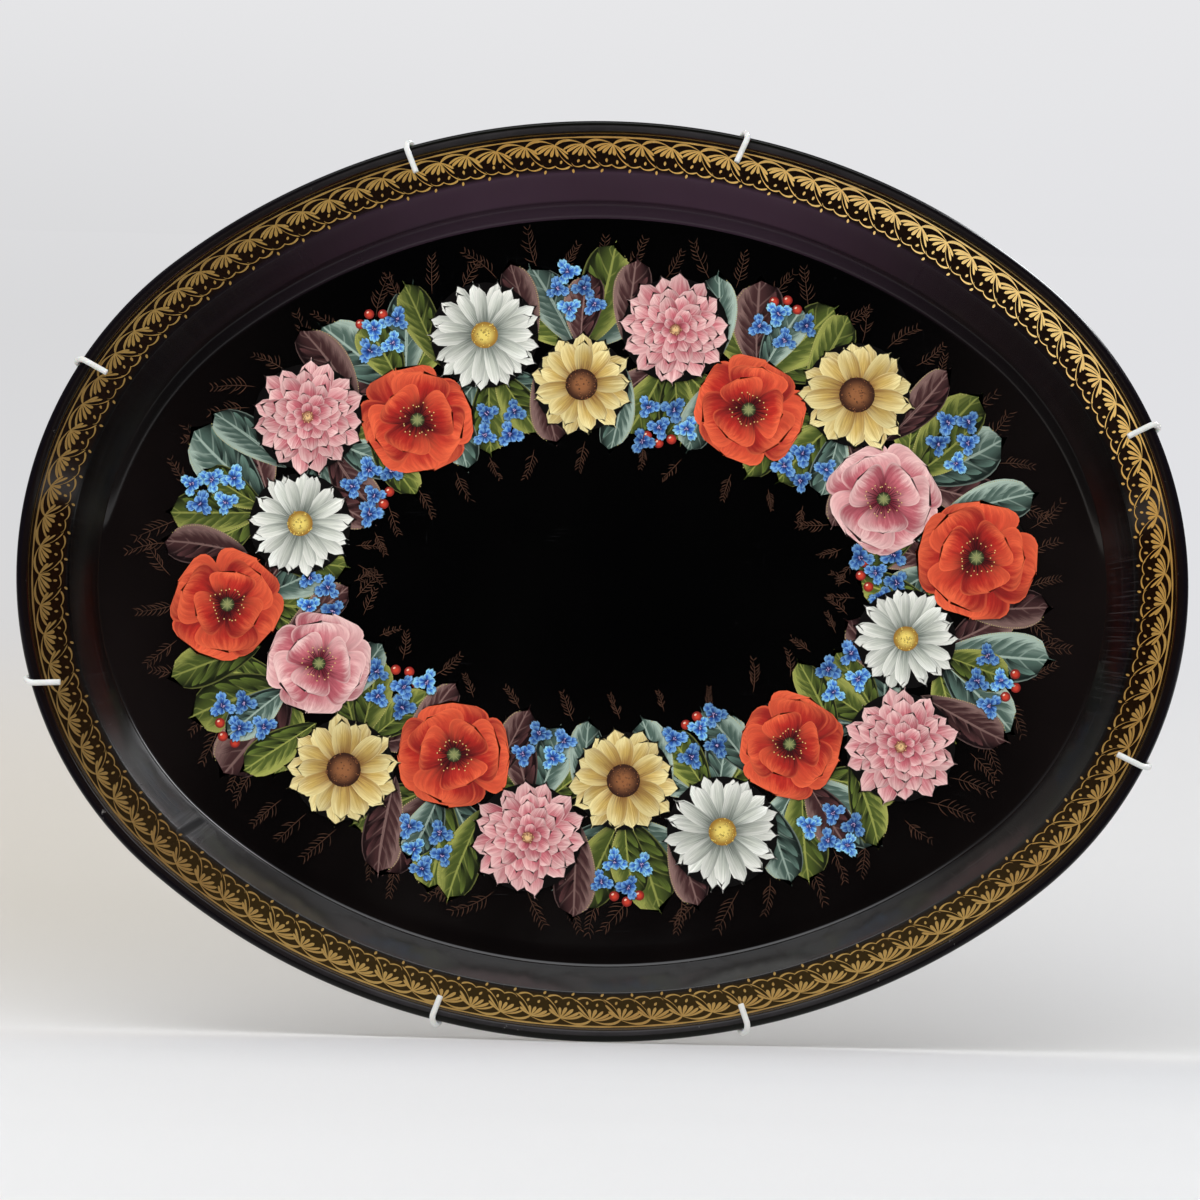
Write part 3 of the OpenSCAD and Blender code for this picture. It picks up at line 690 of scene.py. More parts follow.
# the continuous line at the outer side
N_LINE = 720
lw = [0.62 + 0.12 * math.sin(i * 0.37) + 0.08 * math.sin(i * 1.13) for i in range(N_LINE)]
k0 = len(g_v)
for i in range(N_LINE):
    for j in (-1, 0, 1):
        g_v.append(on_band(PERIM * i / N_LINE, BAND0 + 0.02 + j * lw[i] / 2, 0.02 + (0.01 if j == 0 else 0)))
        g_load.append(1.0 if j == 0 else 0.4)
        g_painted_light.append(gold_painted_light(PERIM * i / N_LINE))
for i in range(N_LINE):
    a, b2 = k0 + 3 * i, k0 + 3 * ((i + 1) % N_LINE)
    g_f.append((a, a + 1, b2 + 1, b2))
    g_f.append((a + 1, a + 2, b2 + 2, b2 + 1))
gold = make("gold_border", row(g_v), g_f, GOLD, attrs={"load": ("FLOAT", g_load), "gold_painted_light": ("FLOAT", g_painted_light)})
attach(gold, "tray")

# ------------------------------------------------------------ painted flowers


class Film:
    """Collects thin painted shapes of one piece."""

    def __init__(self):
        self.v, self.f, self.uv, self.ca, self.cb, self.cc, self.k = [], [], [], [], [], [], []

    def grid(self, pts, us, vs, cols, kind, seed, h):
        """pts: (nu, nv, 2) in tray mm."""
        nu, nv = pts.shape[:2]
        k = len(self.v)
        for i in range(nu):
            for j in range(nv):
                self.v.append((pts[i, j, 0], pts[i, j, 1], FLOOR + h))
                self.uv.append((us[i], vs[j], seed))
        for i in range(nu - 1):
            for j in range(nv - 1):
                q = k + i * nv + j
                self.f.append((q, q + 1, q + nv + 1, q + nv))
        m = nu * nv
        for lst, c in zip((self.ca, self.cb, self.cc), cols):
            lst.extend([(*c, 1.0)] * m)
        self.k.extend([kind] * m)

    def fan(self, pts, cols, seed, h, kind=2.0):
        """A small blob: outline points about their middle."""
        pts = np.asarray(pts)
        c = pts.mean(axis=0)
        k = len(self.v)
        self.v.append((c[0], c[1], FLOOR + h + 0.004))
        self.uv.append((0.0, 0.0, seed))
        for p in pts:
            self.v.append((p[0], p[1], FLOOR + h))
            self.uv.append((1.0, 0.0, seed))
        n = len(pts)
        for i in range(n):
            self.f.append((k, k + 1 + i, k + 1 + (i + 1) % n))
        for lst, cc in zip((self.ca, self.cb, self.cc), cols):
            lst.extend([(*cc, 1.0)] * (n + 1))
        self.k.extend([kind] * (n + 1))

    def piece(self, name):
        v = row(self.v)
        # every face looks towards the viewer
        f = []
        for q in self.f:
            p = [self.v[i] for i in q]
            ar = sum(p[i][0] * p[(i + 1) % len(p)][1] - p[(i + 1) % len(p)][0] * p[i][1] for i in range(len(p)))
            f.append(q if ar > 0 else q[::-1])
        o = make(name, v, f, PAINT, attrs={"puv": ("FLOAT_VECTOR", self.uv), "ca": ("FLOAT_COLOR", self.ca), "cb": ("FLOAT_COLOR", self.cb), "cc": ("FLOAT_COLOR", self.cc), "kind": ("FLOAT", self.k)})
        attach(o, "tray")
        return o


RED = ((0.075, 0.002, 0.004), (0.50, 0.016, 0.008), (0.86, 0.13, 0.045))
PINK = ((0.16, 0.010, 0.024), (0.58, 0.13, 0.16), (0.90, 0.60, 0.56))
WHITE = ((0.10, 0.125, 0.105), (0.56, 0.58, 0.50), (0.92, 0.91, 0.83))
YELLOW = ((0.19, 0.055, 0.012), (0.60, 0.40, 0.10), (0.90, 0.78, 0.38))
BLUE = ((0.004, 0.013, 0.09), (0.016, 0.11, 0.46), (0.28, 0.58, 0.90))
OLIVE = ((0.010, 0.015, 0.003), (0.075, 0.105, 0.014), (0.34, 0.36, 0.075))
SAGE = ((0.008, 0.016, 0.013), (0.07, 0.12, 0.095), (0.38, 0.48, 0.40))
MAROON = ((0.012, 0.003, 0.004), (0.065, 0.022, 0.022), (0.26, 0.15, 0.13))
SPRIG = ((0.020, 0.008, 0.004), (0.045, 0.017, 0.009), (0.080, 0.034, 0.018))


def shade(cols, f):
    return tuple(tuple(min(1.0, x * f) for x in c) for c in cols)


def petal(film, base, ang, ln, wd, cols, h, seed, bow=0.0, p=0.9, q=2.6, wave=0.0, kind=0.0, nu=10, nv=7, flip=1, notch=0.0):
    """A petal or leaf from base along ang; p and q shape its foot and tip."""
    us = np.linspace(0.0, 1.0, nu)
    vs = np.linspace(-1.0, 1.0, nv)
    d = np.array([math.cos(ang), math.sin(ang)])
    e = np.array([-d[1], d[0]])
    prof = (us ** p) * (1 - us ** q) ** 0.5
    prof = prof / prof.max()
    pts = np.zeros((nu, nv, 2))
    for i, u in enumerate(us):
        for j, v in enumerate(vs):
            x = ln * u * (1 - notch * (1 - abs(v)) * u ** 6) - ln * 0.06 * abs(v) ** 2 * u
            y = wd / 2 * v * prof[i] + bow * ln * u * u
            y += wave * wd * math.sin(7 * u + seed * 9 + 2 * v) * u
            x += wave * ln * math.sin(5 * v + seed * 17) * u ** 3
            pts[i, j] = base + d * x + e * y
    film.grid(pts, us, vs * flip, cols, kind, seed, h)


def stroke(film, line, width, cols, h, seed, kind=2.0):
    rb = ribbon(line, width)
    us = np.linspace(0.2, 0.9, len(rb))
    film.grid(rb, us, np.array([-1.0, 0.0, 1.0]), cols, kind, seed, h)


def dot(film, c, r, cols, h, seed, n=9, sq=1.0, ang=0.0):
    t = np.arange(n) * 2 * math.pi / n
    x, y = r * np.cos(t), r * sq * np.sin(t)
    film.fan(np.c_[c[0] + x * math.cos(ang) - y * math.sin(ang), c[1] + x * math.sin(ang) + y * math.cos(ang)], cols, seed, h)


def poppy(film, c, r, rg, h, cols=RED):
    """Open flower of broad overlapping petals round a dark heart."""
    c = np.array(c)
    a0 = rg.uniform(0, 6.28)
    k = 0
    for ring, n, ln, wd in ((0, 4, 1.0, 1.30), (1, 3, 0.86, 1.10), (2, 3, 0.62, 0.86)):
        for i in range(n):
            a = a0 + ring * 0.7 + i * 2 * math.pi / n + rg.uniform(-0.12, 0.12)
            k += 1
            petal(film, c + 0.02 * r * np.array([math.cos(a), math.sin(a)]), a, r * ln * rg.uniform(0.95, 1.05), r * wd * rg.uniform(0.94, 1.06), shade(cols, rg.uniform(0.9, 1.1)), h + 0.006 * k, rg.random(), rg.uniform(-0.06, 0.06), 0.62, 4.2, 0.022, flip=rg.choice((-1, 1)), nu=14, nv=11, notch=0.06)
    hh = h + 0.006 * k + 0.01
    for i in range(26):
        a = i * 2 * math.pi / 26 + rg.uniform(-0.1, 0.1)
        ln = r * rg.uniform(0.22, 0.34)
        e = c + ln * np.array([math.cos(a), math.sin(a)])
        stroke(film, bez([c, (c + e) / 2 + rg.uniform(-0.3, 0.3), e], 5), np.full(5, 0.22), ((0.01, 0.004, 0.006),) * 3, hh, rg.random())
        dot(film, e, 0.34, ((0.30, 0.13, 0.03), (0.62, 0.36, 0.08), (0.92, 0.74, 0.30)), hh + 0.006, rg.random(), 7)
    dot(film, c, r * 0.13, ((0.01, 0.012, 0.004), (0.05, 0.06, 0.02), (0.25, 0.28, 0.10)), hh + 0.012, rg.random(), 14)
    for i in range(8):
        a = i * math.pi / 4
        stroke(film, bez([c, c + 0.06 * r * np.array([math.cos(a), math.sin(a)]), c + 0.12 * r * np.array([math.cos(a), math.sin(a)])], 4), np.full(4, 0.2), ((0.35, 0.34, 0.13),) * 3, hh + 0.02, rg.random())


def rays(film, c, r, rg, h, cols, heart, rings, p=0.55, q=3.0, tilt=0.0):
    """Rayed flower: rings of (count, length, width) round a heart of dots."""
    c = np.array(c)
    k = 0
    for n, ln, wd in rings:
        a0 = rg.uniform(0, 6.28)
        order = list(range(n))
        rg.shuffle(order)
        for i in order:
            a = a0 + i * 2 * math.pi / n + rg.uniform(-0.06, 0.06)
            sq = 1.0 - tilt * abs(math.sin(a))
            k += 1
            petal(film, c, a, r * ln * sq * rg.uniform(0.93, 1.05), r * wd * rg.uniform(0.9, 1.1), shade(cols, rg.uniform(0.86, 1.12)), h + 0.0045 * k, rg.random(), rg.uniform(-0.08, 0.08), p, q, 0.012, flip=1 if math.cos(a - 2.2) > 0 else -1, nu=10, nv=7)
    hh = h + 0.0045 * k + 0.01
    hr, hc = heart
    dot(film, c, r * hr, hc, hh, rg.random(), 20)
    for i in range(int(60 * hr / 0.25)):
        a, q2 = rg.uniform(0, 6.28), math.sqrt(rg.random()) * r * hr * 1.02
        b = rg.uniform(0.5, 1.3)
        dot(film, c + q2 * np.array([math.cos(a), math.sin(a)]), 0.30 + 0.16 * rg.random(), shade(hc, b), hh + 0.006 + 0.0004 * i, rg.random(), 6)


def dahlia(film, c, r, rg, h, cols):
    rays(film, c, r, rg, h, cols, (0.10, ((0.10, 0.01, 0.01), (0.40, 0.10, 0.06), (0.85, 0.55, 0.25))), ((15, 1.0, 0.36), (14, 0.82, 0.34), (12, 0.63, 0.30), (9, 0.44, 0.25), (6, 0.26, 0.18)), 0.6, 2.0)


def daisy(film, c, r, rg, h, cols):
    rays(film, c, r, rg, h, cols, (0.23, ((0.16, 0.06, 0.01), (0.56, 0.30, 0.03), (0.90, 0.70, 0.16))), ((17, 1.0, 0.24), (15, 0.92, 0.23)), 0.45, 4.5)


def sunny(film, c, r, rg, h, cols):
    rays(film, c, r, rg, h, cols, (0.30, ((0.012, 0.004, 0.003), (0.085, 0.026, 0.012), (0.32, 0.12, 0.04))), ((13, 1.0, 0.36), (13, 0.90, 0.34)), 0.75, 2.2)


def cornflower(film, c, r, rg, h, cols=BLUE):
    """Small flower of notched trumpet petals."""
    c = np.array(c)
    a0 = rg.uniform(0, 6.28)
    k = 0
    for n, ln in ((7, 1.0), (5, 0.62)):
        for i in range(n):
            a = a0 + k * 0.4 + i * 2 * math.pi / n + rg.uniform(-0.12, 0.12)
            for da in (-0.26, 0.26, 0.0):
                k += 1
                petal(film, c, a + da, r * ln * (1.0 if da == 0 else 0.92), r * 0.30, shade(cols, rg.uniform(0.8, 1.2)), h + 0.003 * k, rg.random(), 0.0, 1.4, 3.0, 0.0, nu=6, nv=4, flip=rg.choice((-1, 1)))
    for i in range(7):
        a, q = rg.uniform(0, 6.28), r * 0.17 * rg.random()
        dot(film, c + q * np.array([math.cos(a), math.sin(a)]), 0.32, ((0.05, 0.01, 0.10), (0.16, 0.05, 0.30), (0.72, 0.60, 0.85)), h + 0.003 * k + 0.006 + i * 0.001, rg.random(), 6)


def berry(film, c, r, rg, h):
    c = np.array(c)
    dot(film, c, r, ((0.12, 0.004, 0.004), (0.40, 0.02, 0.012), (0.66, 0.05, 0.02)), h, rg.random(), 14)
    dot(film, c + (-0.3 * r, 0.35 * r), r * 0.28, ((0.9, 0.6, 0.45),) * 3, h + 0.006, rg.random(), 8, 0.7, 0.6)


def leaf(film, c, ang, ln, wd, cols, rg, h, bow=None, dots=True):
    """A leaf laid in dark, then modelled with curved light strokes and a dotted edge."""
    c = np.array(c)
    bow = rg.uniform(-0.14, 0.14) if bow is None else bow
    flip = rg.choice((-1, 1))
    seed = rg.random()
    cols = shade(cols, rg.uniform(0.8, 1.15))
    petal(film, c, ang, ln, wd, cols, h, seed, bow, 0.75, 1.9, 0.012, kind=1.0, flip=flip, nu=13, nv=9)
    d = np.array([math.cos(ang), math.sin(ang)])
    e = np.array([-d[1], d[0]])

    def on_leaf(u, v):
        pr = (u ** 0.75) * (1 - min(1.0, u) ** 1.9) ** 0.5 / 0.62
        return c + d * (ln * u - ln * 0.06 * u * v * v) + e * (flip * v * wd / 2 * min(1.0, pr) + bow * ln * u * u)

    for side, n in ((1, 6), (-1, 4)):
        for i in range(n):
            u0 = 0.10 + 0.62 * i / n + rg.uniform(-0.02, 0.02)
            u1 = min(0.97, u0 + rg.uniform(0.24, 0.32))
            line = bez([on_leaf(u0, side * 0.06), on_leaf((u0 + u1) / 2 - 0.03, side * 0.55), on_leaf(u1, side * rg.uniform(0.80, 0.93))], 9)
            tone = (shade((cols[1],), 0.9)[0], cols[1], cols[2]) if side > 0 else (shade((cols[0],), 1.2)[0], shade((cols[1],), 0.8)[0], shade((cols[1],), 1.7)[0])
            rb = ribbon(line, brush(9, wd * rg.uniform(0.12, 0.17), ((0, 0.25), (0.35, 0.8), (0.65, 1.0), (0.88, 0.7), (1.0, 0.1))))
            film.grid(rb, np.linspace(0.05, 1.0, 9), np.array([-0.8, 0.1, 0.9]), tone, 0.0, rg.random(), h + 0.002 + 0.0006 * i)
    rib = bez([on_leaf(0.02, 0.0), on_leaf(0.5, 0.03), on_leaf(0.93, 0.0)], 10)
    stroke(film, rib, brush(10, 0.46, ((0, 1.0), (0.6, 0.7), (1.0, 0.2))), (cols[2], shade((cols[2],), 0.8)[0], shade((cols[2],), 0.9)[0]), h + 0.008, seed)
    if dots:
        # fine light dots follow one edge
        k = max(8, int(ln / 1.25))
        for i in range(k):
            u = 0.16 + 0.80 * i / (k - 1)
            dot(film, on_leaf(u, 1.07 + 0.5 / wd), 0.20 + 0.08 * rg.random(), ((0.26, 0.20, 0.06), (0.40, 0.33, 0.11), (0.62, 0.54, 0.20)), h + 0.006, seed, 6)


def sprig(film, c, ang, ln, rg, h, cols=SPRIG):
    """Thin grass-like spray of fine curved strokes."""
    c = np.array(c)
    bow = rg.uniform(-0.25, 0.25)
    d = np.array([math.cos(ang), math.sin(ang)])
    e = np.array([-d[1], d[0]])
    line = bez([c, c + d * ln * 0.5, c + d * ln + e * bow * ln], 10)
    stroke(film, line, swell(10, 0.36, 0.5), cols, h, rg.random())
    for i in range(2, 10):
        for sgn in (-1, 1):
            if rg.random() < 0.12:
                continue
            p = line[i]
            a = ang + sgn * rg.uniform(0.5, 0.9) + bow * i / 9
            l2 = ln * (0.34 - 0.02 * i) * rg.uniform(0.8, 1.2)
            q = p + l2 * np.array([math.cos(a), math.sin(a)])
            cpt = (p + q) / 2 + 0.18 * l2 * sgn * np.array([-math.sin(a), math.cos(a)])
            stroke(film, bez([p, cpt, q], 6), tear(6, 0.40, 0.6, 0.3), shade(cols, rg.uniform(0.7, 1.5)), h + 0.001 * i, rg.random())


def ell(t, ax, bx):
    return np.array([ax * math.cos(t), bx * math.sin(t)])


def even_angles(n, ax, bx, start=0.0):
    """Angles of n places at equal distances round an oval."""
    tt = np.linspace(0, 2 * math.pi, 2001) + start
    p = np.c_[ax * np.cos(tt), bx * np.sin(tt)]
    s = np.r_[0, np.cumsum(np.linalg.norm(np.diff(p, axis=0), axis=1))]
    return np.interp(np.arange(n) * s[-1] / n, s, tt)


rg = random.Random(7)
GA, GB = 150.0, 100.0  # middle line of the garland
N_BIG = 20
big = even_angles(N_BIG, GA, GB, math.pi / 2 + 0.08)


def normal_at(t):
    return unit([math.cos(t) / GA, math.sin(t) / GB])


def place_on(t, out, aside=0.0):
    """Point out mm outside the garland's middle line and aside mm along it."""
    nr = normal_at(t)
    return ell(t, GA, GB) + nr * out + np.array([-nr[1], nr[0]]) * aside


# fine sprays first, under everything
for q in range(6):
    fm = Film()
    for i in range(24):
        t = q * math.pi / 3 + (i + 0.5) * math.pi / 72 + rg.uniform(-0.02, 0.02)
        na = math.atan2(*normal_at(t)[::-1])
        if i % 2 == 0:
            sprig(fm, place_on(t, rg.uniform(34, 40)), na + rg.uniform(-0.8, 0.8), rg.uniform(14, 20), rg, 0.02)
        elif i % 4 == 1:
            sprig(fm, place_on(t, -rg.uniform(38, 43)), na + math.pi + rg.uniform(-0.7, 0.7), rg.uniform(9, 14), rg, 0.02)
    fm.piece("sprays_%d" % q)
# leaves: a fan outside every inner flower and inside every outer one
for i in range(N_BIG):
    fm = Film()
    t = big[i]
    outward = i % 2 == 0  # even places hold the inner flowers
    na = math.atan2(*normal_at(t)[::-1]) + (0.0 if outward else math.pi)
    h = 0.05
    fan = ((-0.85, 38, 2), (0.85, 38, 3), (-0.36, 46, 0), (0.36, 45, 1), (0.0, 34, 4)) if outward else ((-0.80, 32, 1), (0.80, 32, 2), (-0.28, 36, 3), (0.30, 35, 0))
    for da, ln, tone in fan:
        cols = (OLIVE, SAGE, SAGE, OLIVE, MAROON, OLIVE)[(tone + i // 2) % 6]
        h += 0.016
        base = place_on(t, 4.0 if outward else -2.0, math.sin(da) * (6.0 if outward else -6.0))
        ln = ln * rg.uniform(0.94, 1.08)
        leaf(fm, base, na + da + rg.uniform(-0.1, 0.1), ln, ln * rg.uniform(0.44, 0.54), cols, rg, h)
    # small leaves that close the gap to the next flower
    t2 = t + 0.5 * ((big[(i + 1) % N_BIG] - t) % (2 * math.pi))
    for side, ln in ((1, 43), (-1, 38)):
        h += 0.016
        nb = math.atan2(*normal_at(t2)[::-1]) + (0.0 if side > 0 else math.pi)
        leaf(fm, place_on(t2, side * 5.0), nb + rg.uniform(-0.25, 0.25), ln * rg.uniform(0.9, 1.05), ln * rg.uniform(0.36, 0.44), rg.choice((OLIVE, SAGE, OLIVE, MAROON)), rg, h)
    fm.piece("leaves_%02d" % i)
# clusters of small blue flowers over the leaves, with berries between
for i in range(N_BIG):
    fm = Film()
    t = big[i]
    outward = i % 2 == 0
    h = 0.24
    if outward:
        spots = ((22, -7), (21, 5), (31, -2), (30, 9.5), (38, 4)) if (i // 2) % 2 == 0 else ((23, 7), (22, -5), (32, 1), (31, -11))
    else:
        spots = ((-22, -6.5), (-21, 5.5), (-31, -1), (-30, 10)) if (i // 2) % 2 == 0 else ((-22, 6), (-21.5, -5.5), (-31, 1), (-29, -11), (-36.5, 8))
    for o_, s_ in spots:
        h += 0.072
        lit = rg.choice((0.75, 0.95, 1.0, 1.5))
        cornflower(fm, place_on(t, o_ + rg.uniform(-1.0, 1.0), s_ + rg.uniform(-1.0, 1.0)), rg.uniform(6.0, 7.0), rg, h, shade(BLUE, lit))
    if (i // 2) % 2 == 1:
        for j in range(3):
            berry(fm, place_on(t, (39 - 2.5 * (j - 1) ** 2) if outward else -(37 - 2.5 * (j - 1) ** 2), (j - 1) * 5.4), 2.2, rg, 0.2 + 0.01 * j)
    fm.piece("blue_%02d" % i)
# the large flowers, inner and outer by turns
INNER = ["sunny", "poppy", "daisy", "pink", "poppy"]
OUTER = ["daisy", "dahlia", "poppy", "sunny", "dahlia"]
for i in range(N_BIG):
    fm = Film()
    inner_row = i % 2 == 0
    c = place_on(big[i], -13.0 if inner_row else 14.0)
    kind = (INNER if inner_row else OUTER)[(i // 2) % 5]
    h = 0.66 if inner_row else 0.98
    r = (23.5 if inner_row else 25.5) * rg.uniform(0.95, 1.05)
    # a dark ground under the flower
    dot(fm, c, r * 0.90, ((0.004, 0.003, 0.003), (0.004, 0.003, 0.003), (0.008, 0.005, 0.005)), h - 0.006, 0.3, 28)
    if kind == "poppy":
        poppy(fm, c, r, rg, h)
    elif kind == "pink":
        poppy(fm, c, r, rg, h, PINK)
    elif kind == "daisy":
        daisy(fm, c, r * 0.98, rg, h, WHITE)
    elif kind == "dahlia":
        dahlia(fm, c, r, rg, h, PINK)
    else:
        sunny(fm, c, r * 1.02, rg, h, YELLOW)
    fm.piece("bloom_%02d" % i)

# ------------------------------------------------------ hanger wires, sleeves
HOOK_R = BEAD_R + 0.3 + 1.25
LEG_IN = 34.0


def on_long(x, s):
    return np.array([x, 0.0, s * (math.sqrt((R2 - BEAD_R) ** 2 - x * x) - C2)])


def on_end(z, s):
    return np.array([s * (C1 + math.sqrt((R1 - BEAD_R) ** 2 - z * z)), 0.0, z])


def hook(p, cx, cz, t, reach, aside, y, body):
    """Rim point, angle square to the rim, prong angle, prong length, sideways shift in the bend."""
    return (p, math.atan2(cz - p[2], cx - p[0]), math.radians(t), reach, aside, y, body)


HOOKS = {
    "top_left": hook(on_long(-89.0, 1), 0, -C2, -67, 10.5, 2.7, 34.0, "hanger_top"),
    "top_right": hook(on_long(57.5, 1), 0, -C2, -113, 10.5, -2.4, 34.0, "hanger_top"),
    "bottom_left": hook(on_long(-66.0, -1), 0, C2, 70, 8.0, -3.0, 34.0, "hanger_bottom"),
    "bottom_right": hook(on_long(65.0, -1), 0, C2, 110, 8.0, 3.0, 34.0, "hanger_bottom"),
    "left_top": hook(on_end(85.5, -1), -C1, 0, -28, 10.5, -2.4, 32.0, "hanger_left"),
    "left_bottom": hook(on_end(-53.5, -1), -C1, 0, 3, 10.5, 3.8, 32.0, "hanger_left"),
    "right_top": hook(on_end(69.0, 1), C1, 0, -152, 10.5, 2.5, 32.0, "hanger_right"),
    "right_bottom": hook(on_end(-76.5, 1), C1, 0, 155, 10.5, -2.6, 32.0, "hanger_right"),
}


def dr(t):
    return np.array([math.cos(t), 0.0, math.sin(t)])


def skew(h):
    return h[2] - h[1]


def deep(h):
    return math.hypot(LEG_IN * math.cos(skew(h)), h[5])


def slope(h):
    return math.acos(HOOK_R / deep(h)) - math.atan2(LEG_IN * math.cos(skew(h)), h[5])


def drift(h):
    return (LEG_IN * math.sin(skew(h)) - h[4]) / math.sqrt(deep(h) ** 2 - HOOK_R ** 2)


def tip(h, s):
    return h[0] + (h[3] - s) * dr(h[2]) + np.array([0, -HOOK_R, 0])


def far(h):
    return h[0] + LEG_IN * dr(h[2]) + np.array([0, h[5], 0])


def wrap(h, n=24):
    e = math.pi - slope(h)
    k, f = HOOK_R * e, drift(h)
    out = []
    for i in range(n + 1):
        t = i / n
        w_ = e * t
        side = h[4] * (3 * t ** 2 - 2 * t ** 3) - k * math.tan(skew(h)) * (t ** 3 - 2 * t ** 2 + t) + k * f * (t ** 3 - t ** 2)
        out.append(h[0] - HOOK_R * math.sin(w_) * dr(h[1]) + np.array([0, -HOOK_R * math.cos(w_), 0]) + side * dr(h[1] + math.pi / 2))
    return out


def leg(h, s):
    b_ = slope(h)
    return wrap(h)[-1] + s * (math.cos(b_) * dr(h[1]) + np.array([0, math.sin(b_), 0]) + drift(h) * dr(h[1] + math.pi / 2))


def hung(p):
    """Hanger coordinates (x, depth, height from the tray's centre, mm) to the part's frame."""
    return (np.asarray(p, float).reshape(-1, 3) - [0, NAIL_Y, NAIL_Z]) * 0.001


def span(a, b, step=6.0):
    k = max(1, int(np.linalg.norm(b - a) / step))
    return [a + (b - a) * j / k for j in range(1, k)]


def half(h, k, p, m, q):
    return [tip(h, 1), leg(h, 0), far(h), np.array(p, float), np.array(m, float), np.array(q, float), far(k), leg(k, 0), tip(k, 1)]


def wire_path(h, k, p):
    parts = [[p[0]], wrap(h), corner(p[1], p[2], p[3], 8, 8), corner(p[2], p[3], p[4], 3, 14), corner(p[3], p[4], p[5], 4, 14), corner(p[4], p[5], p[6], 3, 14), corner(p[5], p[6], p[7], 8, 8), wrap(k)[::-1], [p[8]]]
    out = []
    for part in parts:
        if out:
            out += span(out[-1], np.asarray(part[0]))
        out += list(part)
    return out


HALVES = {
    "top": half(HOOKS["top_left"], HOOKS["top_right"], (-28, 39, 60), (0, 39, 90), (28, 39, 60)),
    "bottom": half(HOOKS["bottom_left"], HOOKS["bottom_right"], (-28, 39, -60), (0, 39, -84), (28, 39, -60)),
    "left": half(HOOKS["left_top"], HOOKS["left_bottom"], (-85, 32, 28), (-109, 32, 0), (-85, 32, -28)),
    "right": half(HOOKS["right_top"], HOOKS["right_bottom"], (85, 32, 28), (109, 32, 0), (85, 32, -28)),
}
ENDS = {"top": ("top_left", "top_right"), "bottom": ("bottom_left", "bottom_right"), "left": ("left_top", "left_bottom"), "right": ("right_top", "right_bottom")}
for side, pts in HALVES.items():
    path = wire_path(HOOKS[ENDS[side][0]], HOOKS[ENDS[side][1]], pts)
    rg_ = bar(path, 0.8, 16)
    o = make(side + "_hanger_wire", hung(rg_), skin_faces(len(path), 16), WIRE)
    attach(o, "hanger_" + side)
    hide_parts(side + "_wire")
for name, h in HOOKS.items():
    bend = wrap(h)
    path = [tip(h, 0.0)] + span(tip(h, 0.0), bend[0], 1.5) + bend + span(bend[-1], leg(h, 7.0), 1.5) + [leg(h, 7.0)]
    d0 = unit(path[1] - path[0])
    # a slightly rounded, closed tip and an open, slightly flared back end
    front = [path[0] + d0 * x for x in (0.0, 0.02, 0.10, 0.28)]
    path = front + path[1:]
    rad = [0.70, 0.98, 1.16, 1.25] + [1.25 + 0.012 * math.sin(i * 1.7) for i in range(len(path) - 4)]
    rad[-1] = 1.22
    out_r = bar(path, rad, 24)
    in_r = bar(path[4:], 0.9, 24)[::-1]
    rr = np.concatenate([out_r, in_r])
    o = make(name + "_vinyl", hung(rr), skin_faces(len(rr), 24), VINYL)
    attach(o, h[6])
    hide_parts(name + "_sleeve")

# ------------------------------------------------------------------- springs
LOOP_R, SW = 2.6, 0.45
LOOP_AT = LOOP_R - SW - 0.8 - 0.3


def half_spring(l, turns, steps):
    out = [(LOOP_R * math.sin(math.radians(t)), 0.0, LOOP_AT + LOOP_R * math.cos(math.radians(t))) for t in np.arange(60, 271, 10.5)]
    for i in range(1, int(turns * steps / 2) + 1):
        k = i / steps
        f = math.radians(180 + 360 * (k * k if k < 0.5 else k - 0.25))
        rise = (l / 2 - LOOP_AT - 1.2) * max(0.0, k - 0.1) / (turns / 2 - 0.1)
        out.append((LOOP_R * math.cos(f), LOOP_R * math.sin(f), LOOP_AT + 1.2 * (1 - (1 - 2 * k) ** 2 if k < 0.5 else 1) + rise))
    return np.array(out)


def hang_on(pts, i, d):
    return bend_centre(pts[i - 1], pts[i], pts[i + 1], 3.0) + 3.0 * np.array(d, float)


def spring(name, node, p, q, turns, body_p, body_q):
    """Two halves of a coil spring, drawn between the two wires it hooks on to."""
    e3 = unit(q - p)
    e1 = np.array([0.0, 1.0, 0.0])
    e2 = np.cross(e3, e1)
    l = float(np.linalg.norm(q - p))
    h = half_spring(l, turns, 28)
    other = np.c_[h[:, 0], -h[:, 1], l - h[:, 2]]
    both = np.concatenate([h, other[::-1][1:]])
    pts = p + both[:, :1] * e1 + both[:, 1:2] * e2 + both[:, 2:] * e3
    rings = bar(pts, SW, 10)
    nh = len(h)
    for tag, sl, body, a, b in (("a", slice(0, nh), body_p, 6.0, l / 2), ("b", slice(nh - 1, None), body_q, l - 6.0, l / 2)):
        r = rings[sl]
        o = make("%s_%s" % (name, tag), hung(r), skin_faces(len(r), 10), SPRING)
        start, end = hung(p + e3 * a)[0], hung(p + e3 * b)[0]
        if body == "hanger_top":
            tuple(start)
            tuple(end)
            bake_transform(o)
        else:
            tuple(end)
            tuple(start)
            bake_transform(o)
        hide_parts(node)


